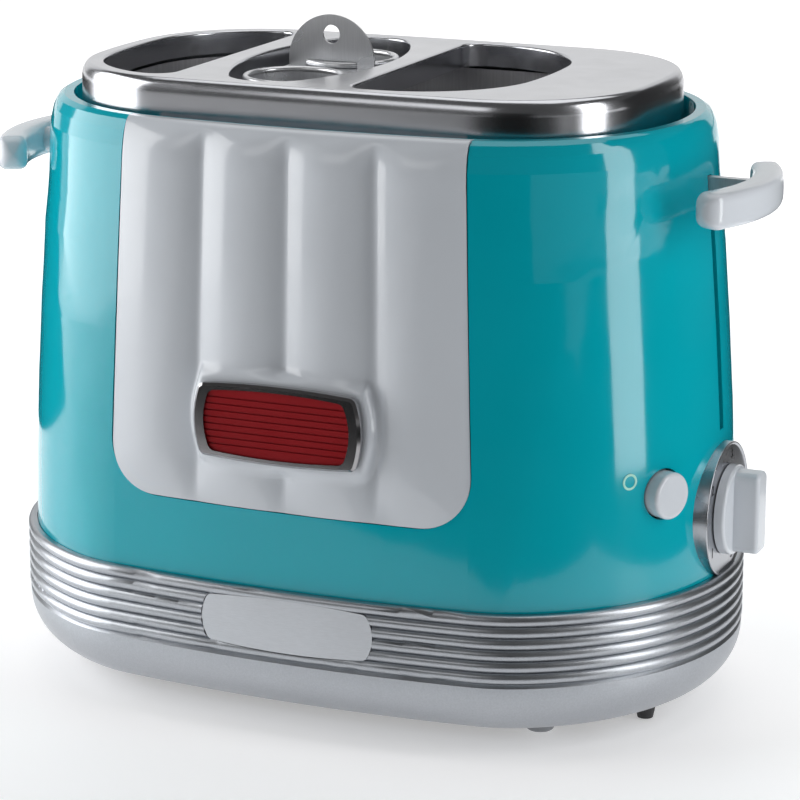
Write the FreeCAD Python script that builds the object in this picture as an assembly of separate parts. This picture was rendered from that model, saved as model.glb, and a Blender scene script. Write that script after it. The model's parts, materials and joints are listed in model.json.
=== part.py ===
import FreeCAD, Part
import math
import os

V = FreeCAD.Vector

# Hot dog toaster, millimetres. +X is the lever end, +Y is the back, +Z is up.
# The origin is on the surface that the feet stand on, at the middle of the body.

# ---------------------------------------------------------------- driving dimensions

# A plan outline has bowed sides and ends. A bow is how far the middle of a side stands out
# beyond its corners, and a corner share is the corner's radius as a share of the end's radius.
BASE_HALF_LENGTH = 144.7
BASE_HALF_DEPTH = 94.8
BASE_SIDE_BOW = 5.56
BASE_END_BOW = 63.21
BASE_CORNER_SHARE = 0.6575
HOUSING_SIDE_BOW = 5.42
HOUSING_END_BOW = 60.54
HOUSING_CORNER_SHARE = 0.6436
SHOULDER_SIDE_BOW = 7.07
SHOULDER_END_BOW = 47.87
SHOULDER_CORNER_SHARE = 0.878
WELL_SIDE_BOW = 6.5
WELL_END_BOW = 42.18
WELL_CORNER_SHARE = 0.8625
RING_SIDE_BOW = 2.04
RING_END_BOW = 9.49
RING_CORNER_SHARE = 0.225

# Heights.
FOOT_HEIGHT = 8.0
BASE_RIB_BOTTOM = 30.2
BASE_TOP = 57.0
SHOULDER_Z = 208.0
LIP_Z = 227.0
TOP_Z = 240.0

# Base band.
BASE_WALL = 2.6
BASE_RIBS = 6
BASE_RIB_DEPTH = 1.7
BASE_ROUND = 18.0
BASE_FLANGE = 10.0
BASE_FLOOR = 2.5
BASE_LEDGE = 3.4
BASE_LEDGE_WIDTH = 1.2
BASE_LEDGE_SHEET = 2.0
BASE_LEDGE_SLOPE = 3.0
BASE_BELLY_INSET = 4.6
BASE_BELLY_DROP = 14.5
BASE_BELLY_WALL = 3.9
BASE_EDGE_INSET = 0.4
BASE_EDGE_DROP = 1.2
BASE_FLOOR_GAP = 0.2
FLOOR_LIP_INSET = 4.0
FLOOR_LIP = 2.0
VENTS = 7
VENT_PITCH = 16.0
VENT_WIDTH = 4.0
VENT_LENGTH = 60.0
VENT_LEFT = -66.0
PLAQUE_HALF_WIDTH = 31.8
PLAQUE_BULGE = 2.8
PLAQUE_X = 2.6
PLAQUE_THICKNESS = 1.2
PLAQUE_GAP = 0.2

# Housing.
HOUSING_STEP = 3.7
HOUSING_WALL = 2.6
HOUSING_LEAN_LENGTH = 9.6
HOUSING_LEAN_DEPTH = 4.5
HOUSING_LEAN_POWER = 1.5
SHOULDER_INSET = 6.0
LIP_WIDTH = 3.7
MOAT = 7.9
WELL_FLOOR_TOP = 215.4
WELL_WALL = 2.4

# Front panel with its padded ribs.
PANEL_TOP_HALF_WIDTH = 68.0
PANEL_FLARE = 5.5
PANEL_BOTTOM = 86.0
PANEL_CORNER = 20.0
PANEL_RIBS = 4
PANEL_SEAT_DEPTH = 3.4
PANEL_SEAT_WALL = 1.6
PANEL_CREST = 1.8
PANEL_GROOVE = 2.1
PANEL_EDGE_SINK = 0.4
PANEL_PROUD = 0.05
PANEL_SEAT_MARGIN = 2.4
PANEL_GAP = 0.1
PANEL_BED = 0.05
PANEL_FADE = 17.0
PANEL_FOOT_SHARE = 0.15

# Badge.
BADGE_HALF_WIDTH = 31.0
BADGE_HALF_HEIGHT = 13.6
BADGE_BULGE = 2.6
BADGE_Z = 120.0
BADGE_RIM = 2.2
BADGE_END_RIM = 4.4
BADGE_THICKNESS = 3.2
BADGE_PAD = 3.2
BADGE_PAD_RISE = 1.0
BADGE_CHAMFER = 1.0
BADGE_SINK = 0.9
BADGE_FIELD_GAP = 0.05
BADGE_RIBS = 9
BADGE_LINE = 0.6
BADGE_LINE_DEPTH = 0.5

# Steel top.
SHEET = 1.0
RING_OUTSET = 3.4
RING_BAND = 6.0
SKIRT = 9.0
OPENING_RIM = 5.0
OPENING_FILLET = 8.0
AXIS_X = -24.5
OVAL_HALF_WIDTH = 27.0
OVAL_HALF_LENGTH = 59.0
OVAL_TIP = 17.0
STRIP_WIDTH = 9.5
RIGHT_SLOT_LENGTH = 57.0

# Oven.
LINER_SHEET = 0.8
LINER_BOTTOM = 46.0
LINER_TOP = 229.5
LINER_CLEAR = 0.8
LINER_LEG = 16.0
LINER_LEG_PLACE = 50.0
LINER_GAP = 1.6
END_PLATE_GAP = 2.0
LOUVRES = 5
LOUVRE_WIDTH = 8.0
LOUVRE_LOW = 160.0
LOUVRE_HEIGHT = 30.0
MICA = 1.0
MICA_INSET = 12.2
WINDINGS = 10
WINDING_MARGIN = 10.0
RIBBON_WIDTH = 2.4
RIBBON_THICKNESS = 0.3
GUARD_WIRE = 1.6
GUARD_WIRES = 5
GUARD_SPREAD = 3.7
GUARD_PITCH = 22.0
RAIL_WIDTH = 9.4
RAIL_HEIGHT = 2.0
RAIL_TOP_Z = 206.0

# Carriage.
TRAVEL = 83.0
ARM_INSET = 6.2
ARM_SHEET = 1.2
ARM_BOTTOM = 132.0
ARM_HEIGHT = 9.0
ARM_CLEARANCE = 1.0
ROD_DIAMETER = 6.0
ROD_STAND = 13.0
ROD_Y = 22.0
ROD_FIT = 0.05
BUSH_DIAMETER = 11.0
BUSH_HEIGHT = 13.0
SLIDER_TOP = 206.0
SLIDER_HALF_WIDTH = 30.0
SLIDER_WINDOW = 32.0
STEM_THICKNESS = 3.6
STEM_HEIGHT = 12.0
SLOT_SIDE_CLEARANCE = 0.4
SLOT_END_CLEARANCE = 0.5
BRACKET_BOTTOM = 36.0
BRACKET_TOP = 211.0
BRACKET_SHEET = 1.2
BRACKET_REACH = 33.0
BRACKET_FOLD = 11.0
CATCH_LENGTH = 16.0
CATCH_WIDTH = 10.0
CATCH_SHEET = 2.0
MAGNET_LENGTH = 14.0
MAGNET_WIDTH = 18.0
MAGNET_LEG = 6.0
MAGNET_WINDOW = 3.5
MAGNET_GAP = 0.3
SPRING_WIRE = 1.2
SPRING_TURNS = 7
SPRING_GAP = 0.6
SPRING_END_GAP = 0.2
RACK_GAP = 1.6
RACK_SLOT = 3.0
RACK_SLOT_LENGTH = 34.0
RACK_PITCH = 8.0
RACK_WIRE_GAP = 0.6
STRAP_WIDTH = 18.0
PLATFORM_HOLE = 14.0

# Sausage cage.
TUBE_DIAMETER = 37.0
TUBE_WALL = 0.8
TUBE_PITCH = 50.0
TUBE_RIM = 1.2
TUBE_WINDOWS = 4
TUBE_WINDOW_WIDTH = 15.0
TUBE_FLOOR = 8.0
TUBE_FOOT_BAND = 10.0
TUBE_BELT = 8.0
TUBE_TOP_BAND = 24.0
CAGE_TOP = 237.6
CAGE_SEAT_GAP = 0.3
TAB_RADIUS = 18.0
TAB_RISE = 18.0
TAB_Y = 9.0
TAB_HOLE = 7.2
TAB_HOLE_DROP = 7.6

# Handles.
HANDLE_Z = 200.0
HANDLE_BOW = 70.0
HANDLE_HALF_SPAN = 38.0
HANDLE_STAND = 10.0
HANDLE_WIDTH = 11.6
HANDLE_HEIGHT = 13.6
HANDLE_END_ROUND = 6.4
HANDLE_EDGE_ROUND = 1.2
STUD_DIAMETER = 7.0
STUD_GAP = 0.2
COLLAR_DIAMETER = 11.0
HANDLE_SCREW = 3.0
HANDLE_SCREW_HEAD = 9.6
HANDLE_SCREW_HEAD_HEIGHT = 2.6

# Dial and stop button.
DIAL_Z = 80.0
BEZEL_DIAMETER = 51.0
BEZEL_STAND = 0.6
BEZEL_LIP = 1.6
BEZEL_DEPTH = 16.0
BEZEL_RIM = 2.2
BEZEL_DRAFT = 1.0
BEZEL_ROUND = 1.2
BEZEL_BAND_GAP = 0.1
KNOB_DIAMETER = 34.0
KNOB_SKIRT = 4.0
GRIP_LENGTH = 31.0
GRIP_WIDTH = 11.0
GRIP_HEIGHT = 13.6
GRIP_CORNER = 3.0
GRIP_ROUND = 1.6
KNOB_GAP = 0.4
KNOB_ROUND = 1.2
SHAFT_DIAMETER = 6.0
SHAFT_GAP = 2.0
DIAL_BOARD_INSET = 29.0
DIAL_BOARD_HALF_WIDTH = 25.0
DIAL_BOARD_HALF_HEIGHT = 17.0
POT_DIAMETER = 17.0
POT_DEPTH = 8.0
POT_NECK = 9.0
POT_NECK_LENGTH = 6.0
SHAFT_TAIL = 3.4
SHAFT_END = 2.0
BUTTON_DIAMETER = 17.5
BUTTON_Y = -40.5
BUTTON_Z = 95.3
BUTTON_ANGLE = 24.0
BUTTON_RISE = 4.6
BUTTON_TRAVEL = 2.0
BUTTON_GAP = 0.8

BUTTON_TAIL = 9.0
BUTTON_CAP_DEPTH = 3.0
BUTTON_STEM = 6.0
BUTTON_FLANGE_REACH = 7.6
BUTTON_FLANGE_SHEET = 1.2
BUTTON_ROUND = 1.4

BOARD_SHEET = 1.6
BOARD_POST = 6.0
BOARD_POST_Y = 19.0
CONTROL_BOARD_INSET = 34.1
CONTROL_BOARD_WIDTH = 30.0
CONTROL_BOARD_HEIGHT = 60.0
BOARD_MARGIN = 3.0
RELAY_WIDTH = 15.0
RELAY_HEIGHT = 18.0
RELAY_DEPTH = 10.0
CAPACITOR_DIAMETER = 8.0
CAPACITOR_LENGTH = 9.0
CHIP_WIDTH = 9.0
CHIP_HEIGHT = 12.0
CHIP_DEPTH = 3.0
PLUG_WIDTH = 8.0
PLUG_HEIGHT = 14.0
PLUG_DEPTH = 6.0
SWITCH_DIAMETER = 8.0
SWITCH_DEPTH = 4.0
SWITCH_GAP = 0.3
SWITCH_BOARD_HALF_HEIGHT = 9.0
SWITCH_POST = 4.0
SWITCH_POST_SPREAD = 12.5
PLUNGER = 3.0

# Feet and pegs.
FOOT_FROM_END = 59.2
FOOT_FROM_SIDE = 48.3
FOOT_DIAMETER = 12.0
FOOT_TAPER = 0.8
FOOT_ROUND = 1.2
PEG_FROM_END = 26.7
PEG_Y = 20.0
PEG_DIAMETER = 9.0
PEG_TAPER = 1.5
PEG_LIFT = 0.6
GLAND_STAND = 24.0
GLAND_DIAMETER = 10.0
GLAND_FLANGE = 1.5
LEAD_DIAMETER = 6.6

# Crumb tray.
TRAY_END_INSET = 9.0
TRAY_PLATE_INSET = 9.0
TRAY_SHEET = 0.8
TRAY_GAP = 0.5
TRAY_MARGIN = 2.0
TRAY_RAIL = 4.0
TRAY_LOW_WALL = 4.0
TRAY_STOP_GAP = 1.0
TRAY_FRONT_DEPTH = 8.0
TRAY_FRONT_SHEET = 2.4
TRAY_RIB_FIRST = 1
TRAY_RIB_LAST = 4

# Fasteners.
SCREW_DIAMETER = 3.6
SCREW_HEAD = 7.0
SCREW_PLAY = 0.4
SCREW_BITE = 5.0
HEAD_SINK = 0.5
HEAD_HEIGHT = 2.5
LUG_WIDTH = 9.0
LUG_DEPTH = 12.0
LUG_HEIGHT = 7.0
LUG_WEB = 6.0
TOWER_DIAMETER = 9.0
TOWER_FROM_END = 39.5
TOWER_FROM_SIDE = 49.5
TOWER_GAP = 0.2

# ---------------------------------------------------------------- derived sizes

RIB_PITCH = (BASE_TOP - 0.4 - BASE_RIB_BOTTOM) / BASE_RIBS
SEAT_Z = BASE_TOP - 1.5
HOUSING_HALF_LENGTH = BASE_HALF_LENGTH - HOUSING_STEP
HOUSING_HALF_DEPTH = BASE_HALF_DEPTH - HOUSING_STEP
WELL_HALF_LENGTH = HOUSING_HALF_LENGTH - HOUSING_LEAN_LENGTH - SHOULDER_INSET - LIP_WIDTH
WELL_HALF_DEPTH = HOUSING_HALF_DEPTH - HOUSING_LEAN_DEPTH - SHOULDER_INSET - LIP_WIDTH
RING_HALF_LENGTH = WELL_HALF_LENGTH - MOAT - RING_OUTSET
RING_HALF_DEPTH = WELL_HALF_DEPTH - MOAT - RING_OUTSET
LINER_INSET = OPENING_RIM - LINER_CLEAR - LINER_SHEET
LINER_HALF_DEPTH = RING_HALF_DEPTH - LINER_INSET
LINER_HALF_LENGTH = RING_HALF_LENGTH - LINER_INSET
SLOT_RIGHT_END = AXIS_X + OVAL_HALF_WIDTH + STRIP_WIDTH + RIGHT_SLOT_LENGTH
END_PLATE_X = SLOT_RIGHT_END + END_PLATE_GAP
FOOT_X = BASE_HALF_LENGTH - FOOT_FROM_END
FOOT_Y = BASE_HALF_DEPTH - FOOT_FROM_SIDE
PEG_X = BASE_HALF_LENGTH - PEG_FROM_END
TOWER_X = BASE_HALF_LENGTH - TOWER_FROM_END
TOWER_Y = BASE_HALF_DEPTH - TOWER_FROM_SIDE
GLAND_X = END_PLATE_X + GLAND_STAND
TRAY_LEFT = -LINER_HALF_LENGTH + TRAY_END_INSET
TRAY_RIGHT = END_PLATE_X - TRAY_PLATE_INSET
ARM_Y = LINER_HALF_DEPTH - ARM_INSET
TRAY_FRONT_Y = -ARM_Y
MICA_HALF_WIDTH = LINER_HALF_DEPTH - MICA_INSET
ROD_X = END_PLATE_X + ROD_STAND
HANDLE_REACH = HOUSING_HALF_LENGTH + HANDLE_STAND
BEZEL_FACE_X = HOUSING_HALF_LENGTH + BEZEL_STAND
GRIP_FACE_X = BEZEL_FACE_X + KNOB_GAP + GRIP_HEIGHT
DIAL_BOARD_X = HOUSING_HALF_LENGTH - DIAL_BOARD_INSET
CONTROL_BOARD_Y = HOUSING_HALF_DEPTH - CONTROL_BOARD_INSET
FLOOR_TOP = FOOT_HEIGHT + BASE_FLOOR
WINDOW_BOTTOM = BASE_RIB_BOTTOM + TRAY_RIB_FIRST * RIB_PITCH
WINDOW_TOP = BASE_RIB_BOTTOM + TRAY_RIB_LAST * RIB_PITCH
TUBE_BOTTOM = ARM_BOTTOM + LINER_SHEET + CAGE_SEAT_GAP
STEM_BOTTOM = HANDLE_Z - STEM_HEIGHT / 2
SLOT_BOTTOM = STEM_BOTTOM - TRAVEL - SLOT_END_CLEARANCE
SLOT_TOP = STEM_BOTTOM + STEM_HEIGHT + SLOT_END_CLEARANCE
LEFT_BOARD_X = AXIS_X - OVAL_HALF_WIDTH - STRIP_WIDTH / 2
RIGHT_BOARD_X = AXIS_X + OVAL_HALF_WIDTH + STRIP_WIDTH / 2
ARM_LEFT_END = -LINER_HALF_LENGTH + 35.0
SLIDER_X = END_PLATE_X + LINER_SHEET + 4.0

# ---------------------------------------------------------------- shape helpers


def minor_arc(centre, radius, start, finish):
    """Arc of under half a turn between two points on a circle."""
    middle = (start - centre) + (finish - centre)
    middle.normalize()
    return Part.Arc(start, centre + middle * radius, finish).toShape()


def bow_radius(half_chord, bow):
    """Radius of an arc from its half chord and its bow."""
    return (half_chord ** 2 + bow ** 2) / (2 * bow)


def side_radius(size):
    half_length, _, side_bow, end_bow, _ = size
    return bow_radius(half_length - end_bow, side_bow)


def end_radius(size):
    _, half_depth, side_bow, end_bow, _ = size
    return bow_radius(half_depth - side_bow, end_bow)


def outline(size, inset=0.0, z=0.0):
    """Closed plan outline of tangent arcs, drawn in by an inset, from the middle of the front."""
    half_depth = size[1] - inset
    side = side_radius(size) - inset
    end = end_radius(size) - inset
    corner = end_radius(size) * size[4] - inset
    side_centre = V(0, side - half_depth, z)
    end_centre = V(size[0] - inset - end, 0, z)
    between = end_centre - side_centre
    span = between.Length
    along = ((side - corner) ** 2 - (end - corner) ** 2 + span ** 2) / (2 * span)
    across = math.sqrt((side - corner) ** 2 - along ** 2)
    unit = between * (1 / span)
    corner_centre = side_centre + unit * along + V(-unit.y, unit.x, 0) * across
    if corner_centre.y > 0 or corner_centre.x < 0:
        corner_centre = side_centre + unit * along - V(-unit.y, unit.x, 0) * across
    to_side = corner_centre - side_centre
    to_end = corner_centre - end_centre
    p = side_centre + to_side * (side / to_side.Length)
    q = end_centre + to_end * (end / to_end.Length)

    def flip(point, sx, sy):
        return V(point.x * sx, point.y * sy, z)

    front = V(0, -half_depth, z)
    edges = [minor_arc(side_centre, side, front, p)]
    edges.append(minor_arc(corner_centre, corner, p, q))
    edges.append(minor_arc(end_centre, end, q, flip(q, 1, -1)))
    edges.append(minor_arc(flip(corner_centre, 1, -1), corner, flip(q, 1, -1), flip(p, 1, -1)))
    edges.append(minor_arc(flip(side_centre, 1, -1), side, flip(p, 1, -1), flip(p, -1, -1)))
    edges.append(minor_arc(flip(corner_centre, -1, -1), corner, flip(p, -1, -1), flip(q, -1, -1)))
    edges.append(minor_arc(flip(end_centre, -1, 1), end, flip(q, -1, -1), flip(q, -1, 1)))
    edges.append(minor_arc(flip(corner_centre, -1, 1), corner, flip(q, -1, 1), flip(p, -1, 1)))
    edges.append(minor_arc(side_centre, side, flip(p, -1, 1), front))
    return Part.Wire(edges)


def base_outline(inset=0.0, z=0.0):
    """Outline parallel to the crests of the base ribs."""
    size = (BASE_HALF_LENGTH, BASE_HALF_DEPTH, BASE_SIDE_BOW, BASE_END_BOW, BASE_CORNER_SHARE)
    return outline(size, inset, z)


def ring_outline(inset=0.0, z=0.0):
    """Outline parallel to the top crease of the steel cover."""
    size = (RING_HALF_LENGTH, RING_HALF_DEPTH, RING_SIDE_BOW, RING_END_BOW, RING_CORNER_SHARE)
    return outline(size, inset, z)


def well_outline(inset=0.0, z=0.0):
    """Outline parallel to the inner edge of the housing's lip."""
    size = (WELL_HALF_LENGTH, WELL_HALF_DEPTH, WELL_SIDE_BOW, WELL_END_BOW, WELL_CORNER_SHARE)
    return outline(size, inset, z)


def prism(wire, height):
    return Part.Face(wire).extrude(V(0, 0, height))


def box(x0, x1, y0, y1, z0, z1):
    return Part.makeBox(x1 - x0, y1 - y0, z1 - z0, V(x0, y0, z0))


def rod(diameter, x, y, z0, z1):
    return Part.makeCylinder(diameter / 2, z1 - z0, V(x, y, z0))


def rod_x(diameter, y, z, x0, x1):
    return Part.makeCylinder(diameter / 2, x1 - x0, V(x0, y, z), V(1, 0, 0))


def fuse(shapes):
    """One body from shapes that overlap or share faces."""
    result = shapes[0]
    if len(shapes) > 1:
        result = result.fuse(shapes[1:])
    return result.removeSplitter()


def group(shapes):
    return Part.makeCompound(shapes)


def mirror_x(shape):
    return shape.mirror(V(0, 0, 0), V(1, 0, 0))


def barrel(half_width, half_height, bulge, grow, x, z, y0, y1):
    """Plate between two Y planes whose four sides bow outward."""
    w = half_width + grow
    h = half_height + grow
    corners = [V(x - w, y0, z - h), V(x + w, y0, z - h), V(x + w, y0, z + h), V(x - w, y0, z + h)]
    middles = [V(x, y0, z - h - bulge / 2), V(x + w + bulge, y0, z),
               V(x, y0, z + h + bulge / 2), V(x - w - bulge, y0, z)]
    edges = []
    for k in range(4):
        edges.append(Part.Arc(corners[k], middles[k], corners[(k + 1) % 4]).toShape())
    plate = Part.Face(Part.Wire(edges)).extrude(V(0, y1 - y0, 0))
    upright = [e for e in plate.Edges if abs(e.tangentAt(e.FirstParameter).y) > 0.99]
    return plate.makeFillet(3.0 + grow / 2, upright)


# ---------------------------------------------------------------- housing surface


def housing_size(z):
    """Plan outline of the housing's outer face at a height."""
    rise = min(max(z - SEAT_Z, 0.0), SHOULDER_Z - SEAT_Z) / (SHOULDER_Z - SEAT_Z)
    lean = rise ** HOUSING_LEAN_POWER

    def blend(low, high):
        return low + (high - low) * rise

    half_length = HOUSING_HALF_LENGTH - HOUSING_LEAN_LENGTH * lean
    half_depth = HOUSING_HALF_DEPTH - HOUSING_LEAN_DEPTH * lean
    return (half_length, half_depth, blend(HOUSING_SIDE_BOW, SHOULDER_SIDE_BOW),
            blend(HOUSING_END_BOW, SHOULDER_END_BOW), blend(HOUSING_CORNER_SHARE, SHOULDER_CORNER_SHARE))


def shoulder_inset(z):
    """How far the rolled shoulder has turned in at a height."""
    turn = min(max(z - SHOULDER_Z, 0.0) / (LIP_Z - SHOULDER_Z), 1.0)
    return SHOULDER_INSET * (1 - math.sqrt(1 - turn ** 2))


def housing_end(z, inset=0.0):
    """X of the housing's face at the middle of its end."""
    return housing_size(z)[0] - shoulder_inset(z) - inset


def housing_levels(top):
    """Heights of the housing's sections, closer together round the shoulder."""
    steps = 5
    levels = [SEAT_Z + (SHOULDER_Z - SEAT_Z) * k / steps for k in range(steps + 1)]
    for degrees in (25, 48, 68, 90):
        levels.append(SHOULDER_Z + (LIP_Z - SHOULDER_Z) * math.sin(math.radians(degrees)))
    levels = [z for z in levels if z < top - 0.5]
    return levels + [top]


def housing_loft(inset=0.0, top=LIP_Z):
    """Solid inside the housing's outer face, drawn in by an inset."""
    wires = [outline(housing_size(z), inset + shoulder_inset(z), z) for z in housing_levels(top)]
    return Part.makeLoft(wires, True, True)


def front_y(x, z, inset=0.0):
    """Y of the housing's front face at a place on the front."""
    inset = inset + shoulder_inset(z)
    side = side_radius(housing_size(z)) - inset
    return inset - housing_size(z)[1] + side - math.sqrt(side ** 2 - x ** 2)


# ---------------------------------------------------------------- base


def band_profile():
    """Closed section of the base band at the front, with half-round ribs and a turned-in foot."""
    def at(inset, z):
        return V(0, -BASE_HALF_DEPTH + inset, z)

    edges = []
    valley = BASE_RIB_DEPTH
    for k in range(BASE_RIBS):
        z0 = BASE_RIB_BOTTOM + k * RIB_PITCH
        z1 = z0 + RIB_PITCH
        edges.append(Part.Arc(at(valley, z0), at(0, (z0 + z1) / 2), at(valley, z1)).toShape())
    top = BASE_RIB_BOTTOM + BASE_RIBS * RIB_PITCH
    inner = BASE_LEDGE + HOUSING_WALL + BASE_LEDGE_WIDTH
    wall_in = BASE_RIB_DEPTH + BASE_WALL
    ledge_under = SEAT_Z - BASE_LEDGE_SHEET
    belly_z = BASE_RIB_BOTTOM - BASE_BELLY_DROP
    corners = [at(valley, top), at(BASE_LEDGE, top), at(BASE_LEDGE, SEAT_Z), at(inner, SEAT_Z),
               at(inner, ledge_under), at(wall_in, ledge_under - BASE_LEDGE_SLOPE),
               at(wall_in, BASE_RIB_BOTTOM - 2 * BASE_EDGE_DROP)]
    for a, b in zip(corners, corners[1:]):
        edges.append(Part.LineSegment(a, b).toShape())
    in_low = at(BASE_ROUND + BASE_FLOOR, FLOOR_TOP)
    edges.append(Part.Arc(corners[-1], at(BASE_BELLY_INSET + BASE_BELLY_WALL, belly_z + BASE_FLOOR), in_low).toShape())
    flange_end = BASE_ROUND + BASE_FLANGE
    low = [in_low, at(flange_end, FLOOR_TOP), at(flange_end, FOOT_HEIGHT), at(BASE_ROUND, FOOT_HEIGHT)]
    for a, b in zip(low, low[1:]):
        edges.append(Part.LineSegment(a, b).toShape())
    edge = at(BASE_EDGE_INSET, BASE_RIB_BOTTOM - BASE_EDGE_DROP)
    edges.append(Part.Arc(low[-1], at(BASE_BELLY_INSET, belly_z), edge).toShape())
    edges.append(Part.LineSegment(edge, at(valley, BASE_RIB_BOTTOM)).toShape())
    return Part.Wire(edges)


def swept_ring(profile, path):
    """Ring made by carrying a section round a plan outline."""
    ring = path.makePipeShell([profile], True, True)
    if ring.Volume < 0:
        ring.reverse()
    return ring


def tray_window(clearance):
    """Block that cuts the tray's window in the back of the band, drawn in by a clearance."""
    return box(TRAY_LEFT - TRAY_MARGIN + clearance, TRAY_RIGHT + TRAY_MARGIN - clearance,
               BASE_HALF_DEPTH - BASE_ROUND - BASE_FLANGE, BASE_HALF_DEPTH + 5,
               WINDOW_BOTTOM + clearance, WINDOW_TOP - clearance)


def plaque_blank(grow, y0, y1):
    z0 = BASE_RIB_BOTTOM + RIB_PITCH
    z1 = BASE_RIB_BOTTOM + (BASE_RIBS - 1) * RIB_PITCH
    return barrel(PLAQUE_HALF_WIDTH, (z1 - z0) / 2, PLAQUE_BULGE, grow, PLAQUE_X, (z0 + z1) / 2, y0, y1)


def base_band():
    return swept_ring(band_profile(), base_outline())


def base_trim(band):
    """Ribbed band with a flat seat for the plaque at the front and the tray's window at the back."""
    seat = plaque_blank(PLAQUE_GAP, -BASE_HALF_DEPTH - 3, -BASE_HALF_DEPTH + BASE_ROUND)
    seat = seat.cut(prism(base_outline(BASE_RIB_DEPTH, 0), BASE_TOP))
    cuts = [seat, tray_window(0.0)]
    for place in tower_places():
        cuts.append(rod(TOWER_DIAMETER + 2 * TOWER_GAP, place.x, place.y, FOOT_HEIGHT - 1, FLOOR_TOP + 5))
    return band.cut(cuts)


def name_plaque():
    """Bare plate that lies in the ribs at the front of the base."""
    blank = plaque_blank(0.0, -BASE_HALF_DEPTH - 3, -BASE_HALF_DEPTH + BASE_ROUND)
    face = prism(base_outline(BASE_RIB_DEPTH - PLAQUE_THICKNESS, 0), BASE_TOP)
    back = prism(base_outline(BASE_RIB_DEPTH, 0), BASE_TOP)
    return blank.common(face).cut(back)


def tower_places():
    return [V(sx * TOWER_X, sy * TOWER_Y, 0) for sx in (-1, 1) for sy in (-1, 1)]


def base_floor():
    """Dark chassis floor with screw towers, tray rails and vents, inside the base band."""
    plate = prism(base_outline(BASE_ROUND + BASE_FLANGE + BASE_FLOOR_GAP, FOOT_HEIGHT), BASE_FLOOR)
    lip = prism(base_outline(BASE_ROUND + FLOOR_LIP_INSET, FLOOR_TOP), FLOOR_LIP)
    rail_top = WINDOW_BOTTOM + TRAY_GAP
    rail_end = BASE_HALF_DEPTH - BASE_ROUND - BASE_FLANGE - 1
    rails = []
    for x in (TRAY_LEFT + 1, TRAY_RIGHT - 1 - TRAY_RAIL):
        rails.append(box(x, x + TRAY_RAIL, TRAY_FRONT_Y - TRAY_RAIL, rail_end, FLOOR_TOP, rail_top))
    stop_y = TRAY_FRONT_Y - TRAY_STOP_GAP
    rails.append(box(TRAY_LEFT + 1, TRAY_RIGHT - 1, stop_y - TRAY_SHEET * 3, stop_y, FLOOR_TOP, rail_top + 4))
    room = prism(base_outline(BASE_ROUND + FLOOR_LIP_INSET, FLOOR_TOP), SEAT_Z - FLOOR_TOP)
    parts = [plate, lip, fuse(rails).common(room)]
    for place in tower_places():
        parts.append(rod(TOWER_DIAMETER, place.x, place.y, FOOT_HEIGHT + HEAD_SINK, SEAT_Z))
    floor = fuse(parts)
    cuts = []
    for place in tower_places():
        cuts.append(rod(SCREW_DIAMETER, place.x, place.y, 0, SEAT_Z + 1))
        cuts.append(rod(SCREW_HEAD, place.x, place.y, 0, head_top()))
    for k in range(VENTS):
        x = VENT_LEFT + k * VENT_PITCH
        cuts.append(box(x - VENT_WIDTH / 2, x + VENT_WIDTH / 2, -VENT_LENGTH / 2, VENT_LENGTH / 2,
                        FOOT_HEIGHT - 1, FLOOR_TOP + FLOOR_LIP + 1))
    cuts.append(rod(GLAND_DIAMETER, GLAND_X, 0, FOOT_HEIGHT - 1, FLOOR_TOP + FLOOR_LIP + 1))
    return floor.cut(cuts)


def cord_gland():
    """Grommet in the hole where the mains lead enters."""
    top = FLOOR_TOP + FLOOR_LIP
    bush = rod(GLAND_DIAMETER, GLAND_X, 0, FOOT_HEIGHT - GLAND_FLANGE / 3, top + GLAND_FLANGE)
    flange = rod(GLAND_DIAMETER + 4, GLAND_X, 0, top, top + GLAND_FLANGE)
    return fuse([bush, flange]).cut(rod(LEAD_DIAMETER, GLAND_X, 0, 0, top + 2 * GLAND_FLANGE))


def head_top():
    """Height of the seats that the base screws' heads pull against."""
    return FOOT_HEIGHT + HEAD_SINK + HEAD_HEIGHT


def base_screws():
    """Long screws up through the towers into the housing's lugs."""
    screws = []
    for place in tower_places():
        shank = rod(SCREW_DIAMETER - SCREW_PLAY, place.x, place.y, head_top() - 1, SEAT_Z + SCREW_BITE)
        head = rod(SCREW_HEAD - 2 * SCREW_PLAY, place.x, place.y, FOOT_HEIGHT + HEAD_SINK, head_top())
        screws.append(fuse([shank, head]))
    return group(screws)


def foot():
    """Tapered rubber foot with a rounded edge."""
    cone = Part.makeCone(FOOT_DIAMETER / 2 - FOOT_TAPER, FOOT_DIAMETER / 2, FOOT_HEIGHT)
    return cone.makeFillet(FOOT_ROUND, [e for e in cone.Edges if e.BoundBox.ZMax < 0.01])


def feet():
    stub = foot()
    feet_shapes = []
    for sx in (-1, 1):
        for sy in (-1, 1):
            feet_shapes.append(stub.translated(V(sx * FOOT_X, sy * FOOT_Y, 0)))
    return group(feet_shapes)


def cord_pegs():
    """Pair of pegs under the lever end that the lead winds round."""
    peg = Part.makeCone(PEG_DIAMETER / 2 - PEG_TAPER, PEG_DIAMETER / 2, FOOT_HEIGHT - PEG_LIFT, V(0, 0, PEG_LIFT))
    return group([peg.translated(V(PEG_X, sy * PEG_Y, 0)) for sy in (-1, 1)])


# ---------------------------------------------------------------- housing


def panel_half_width(z):
    return PANEL_TOP_HALF_WIDTH + PANEL_FLARE * (LIP_Z - z) / (LIP_Z - PANEL_BOTTOM)


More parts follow.
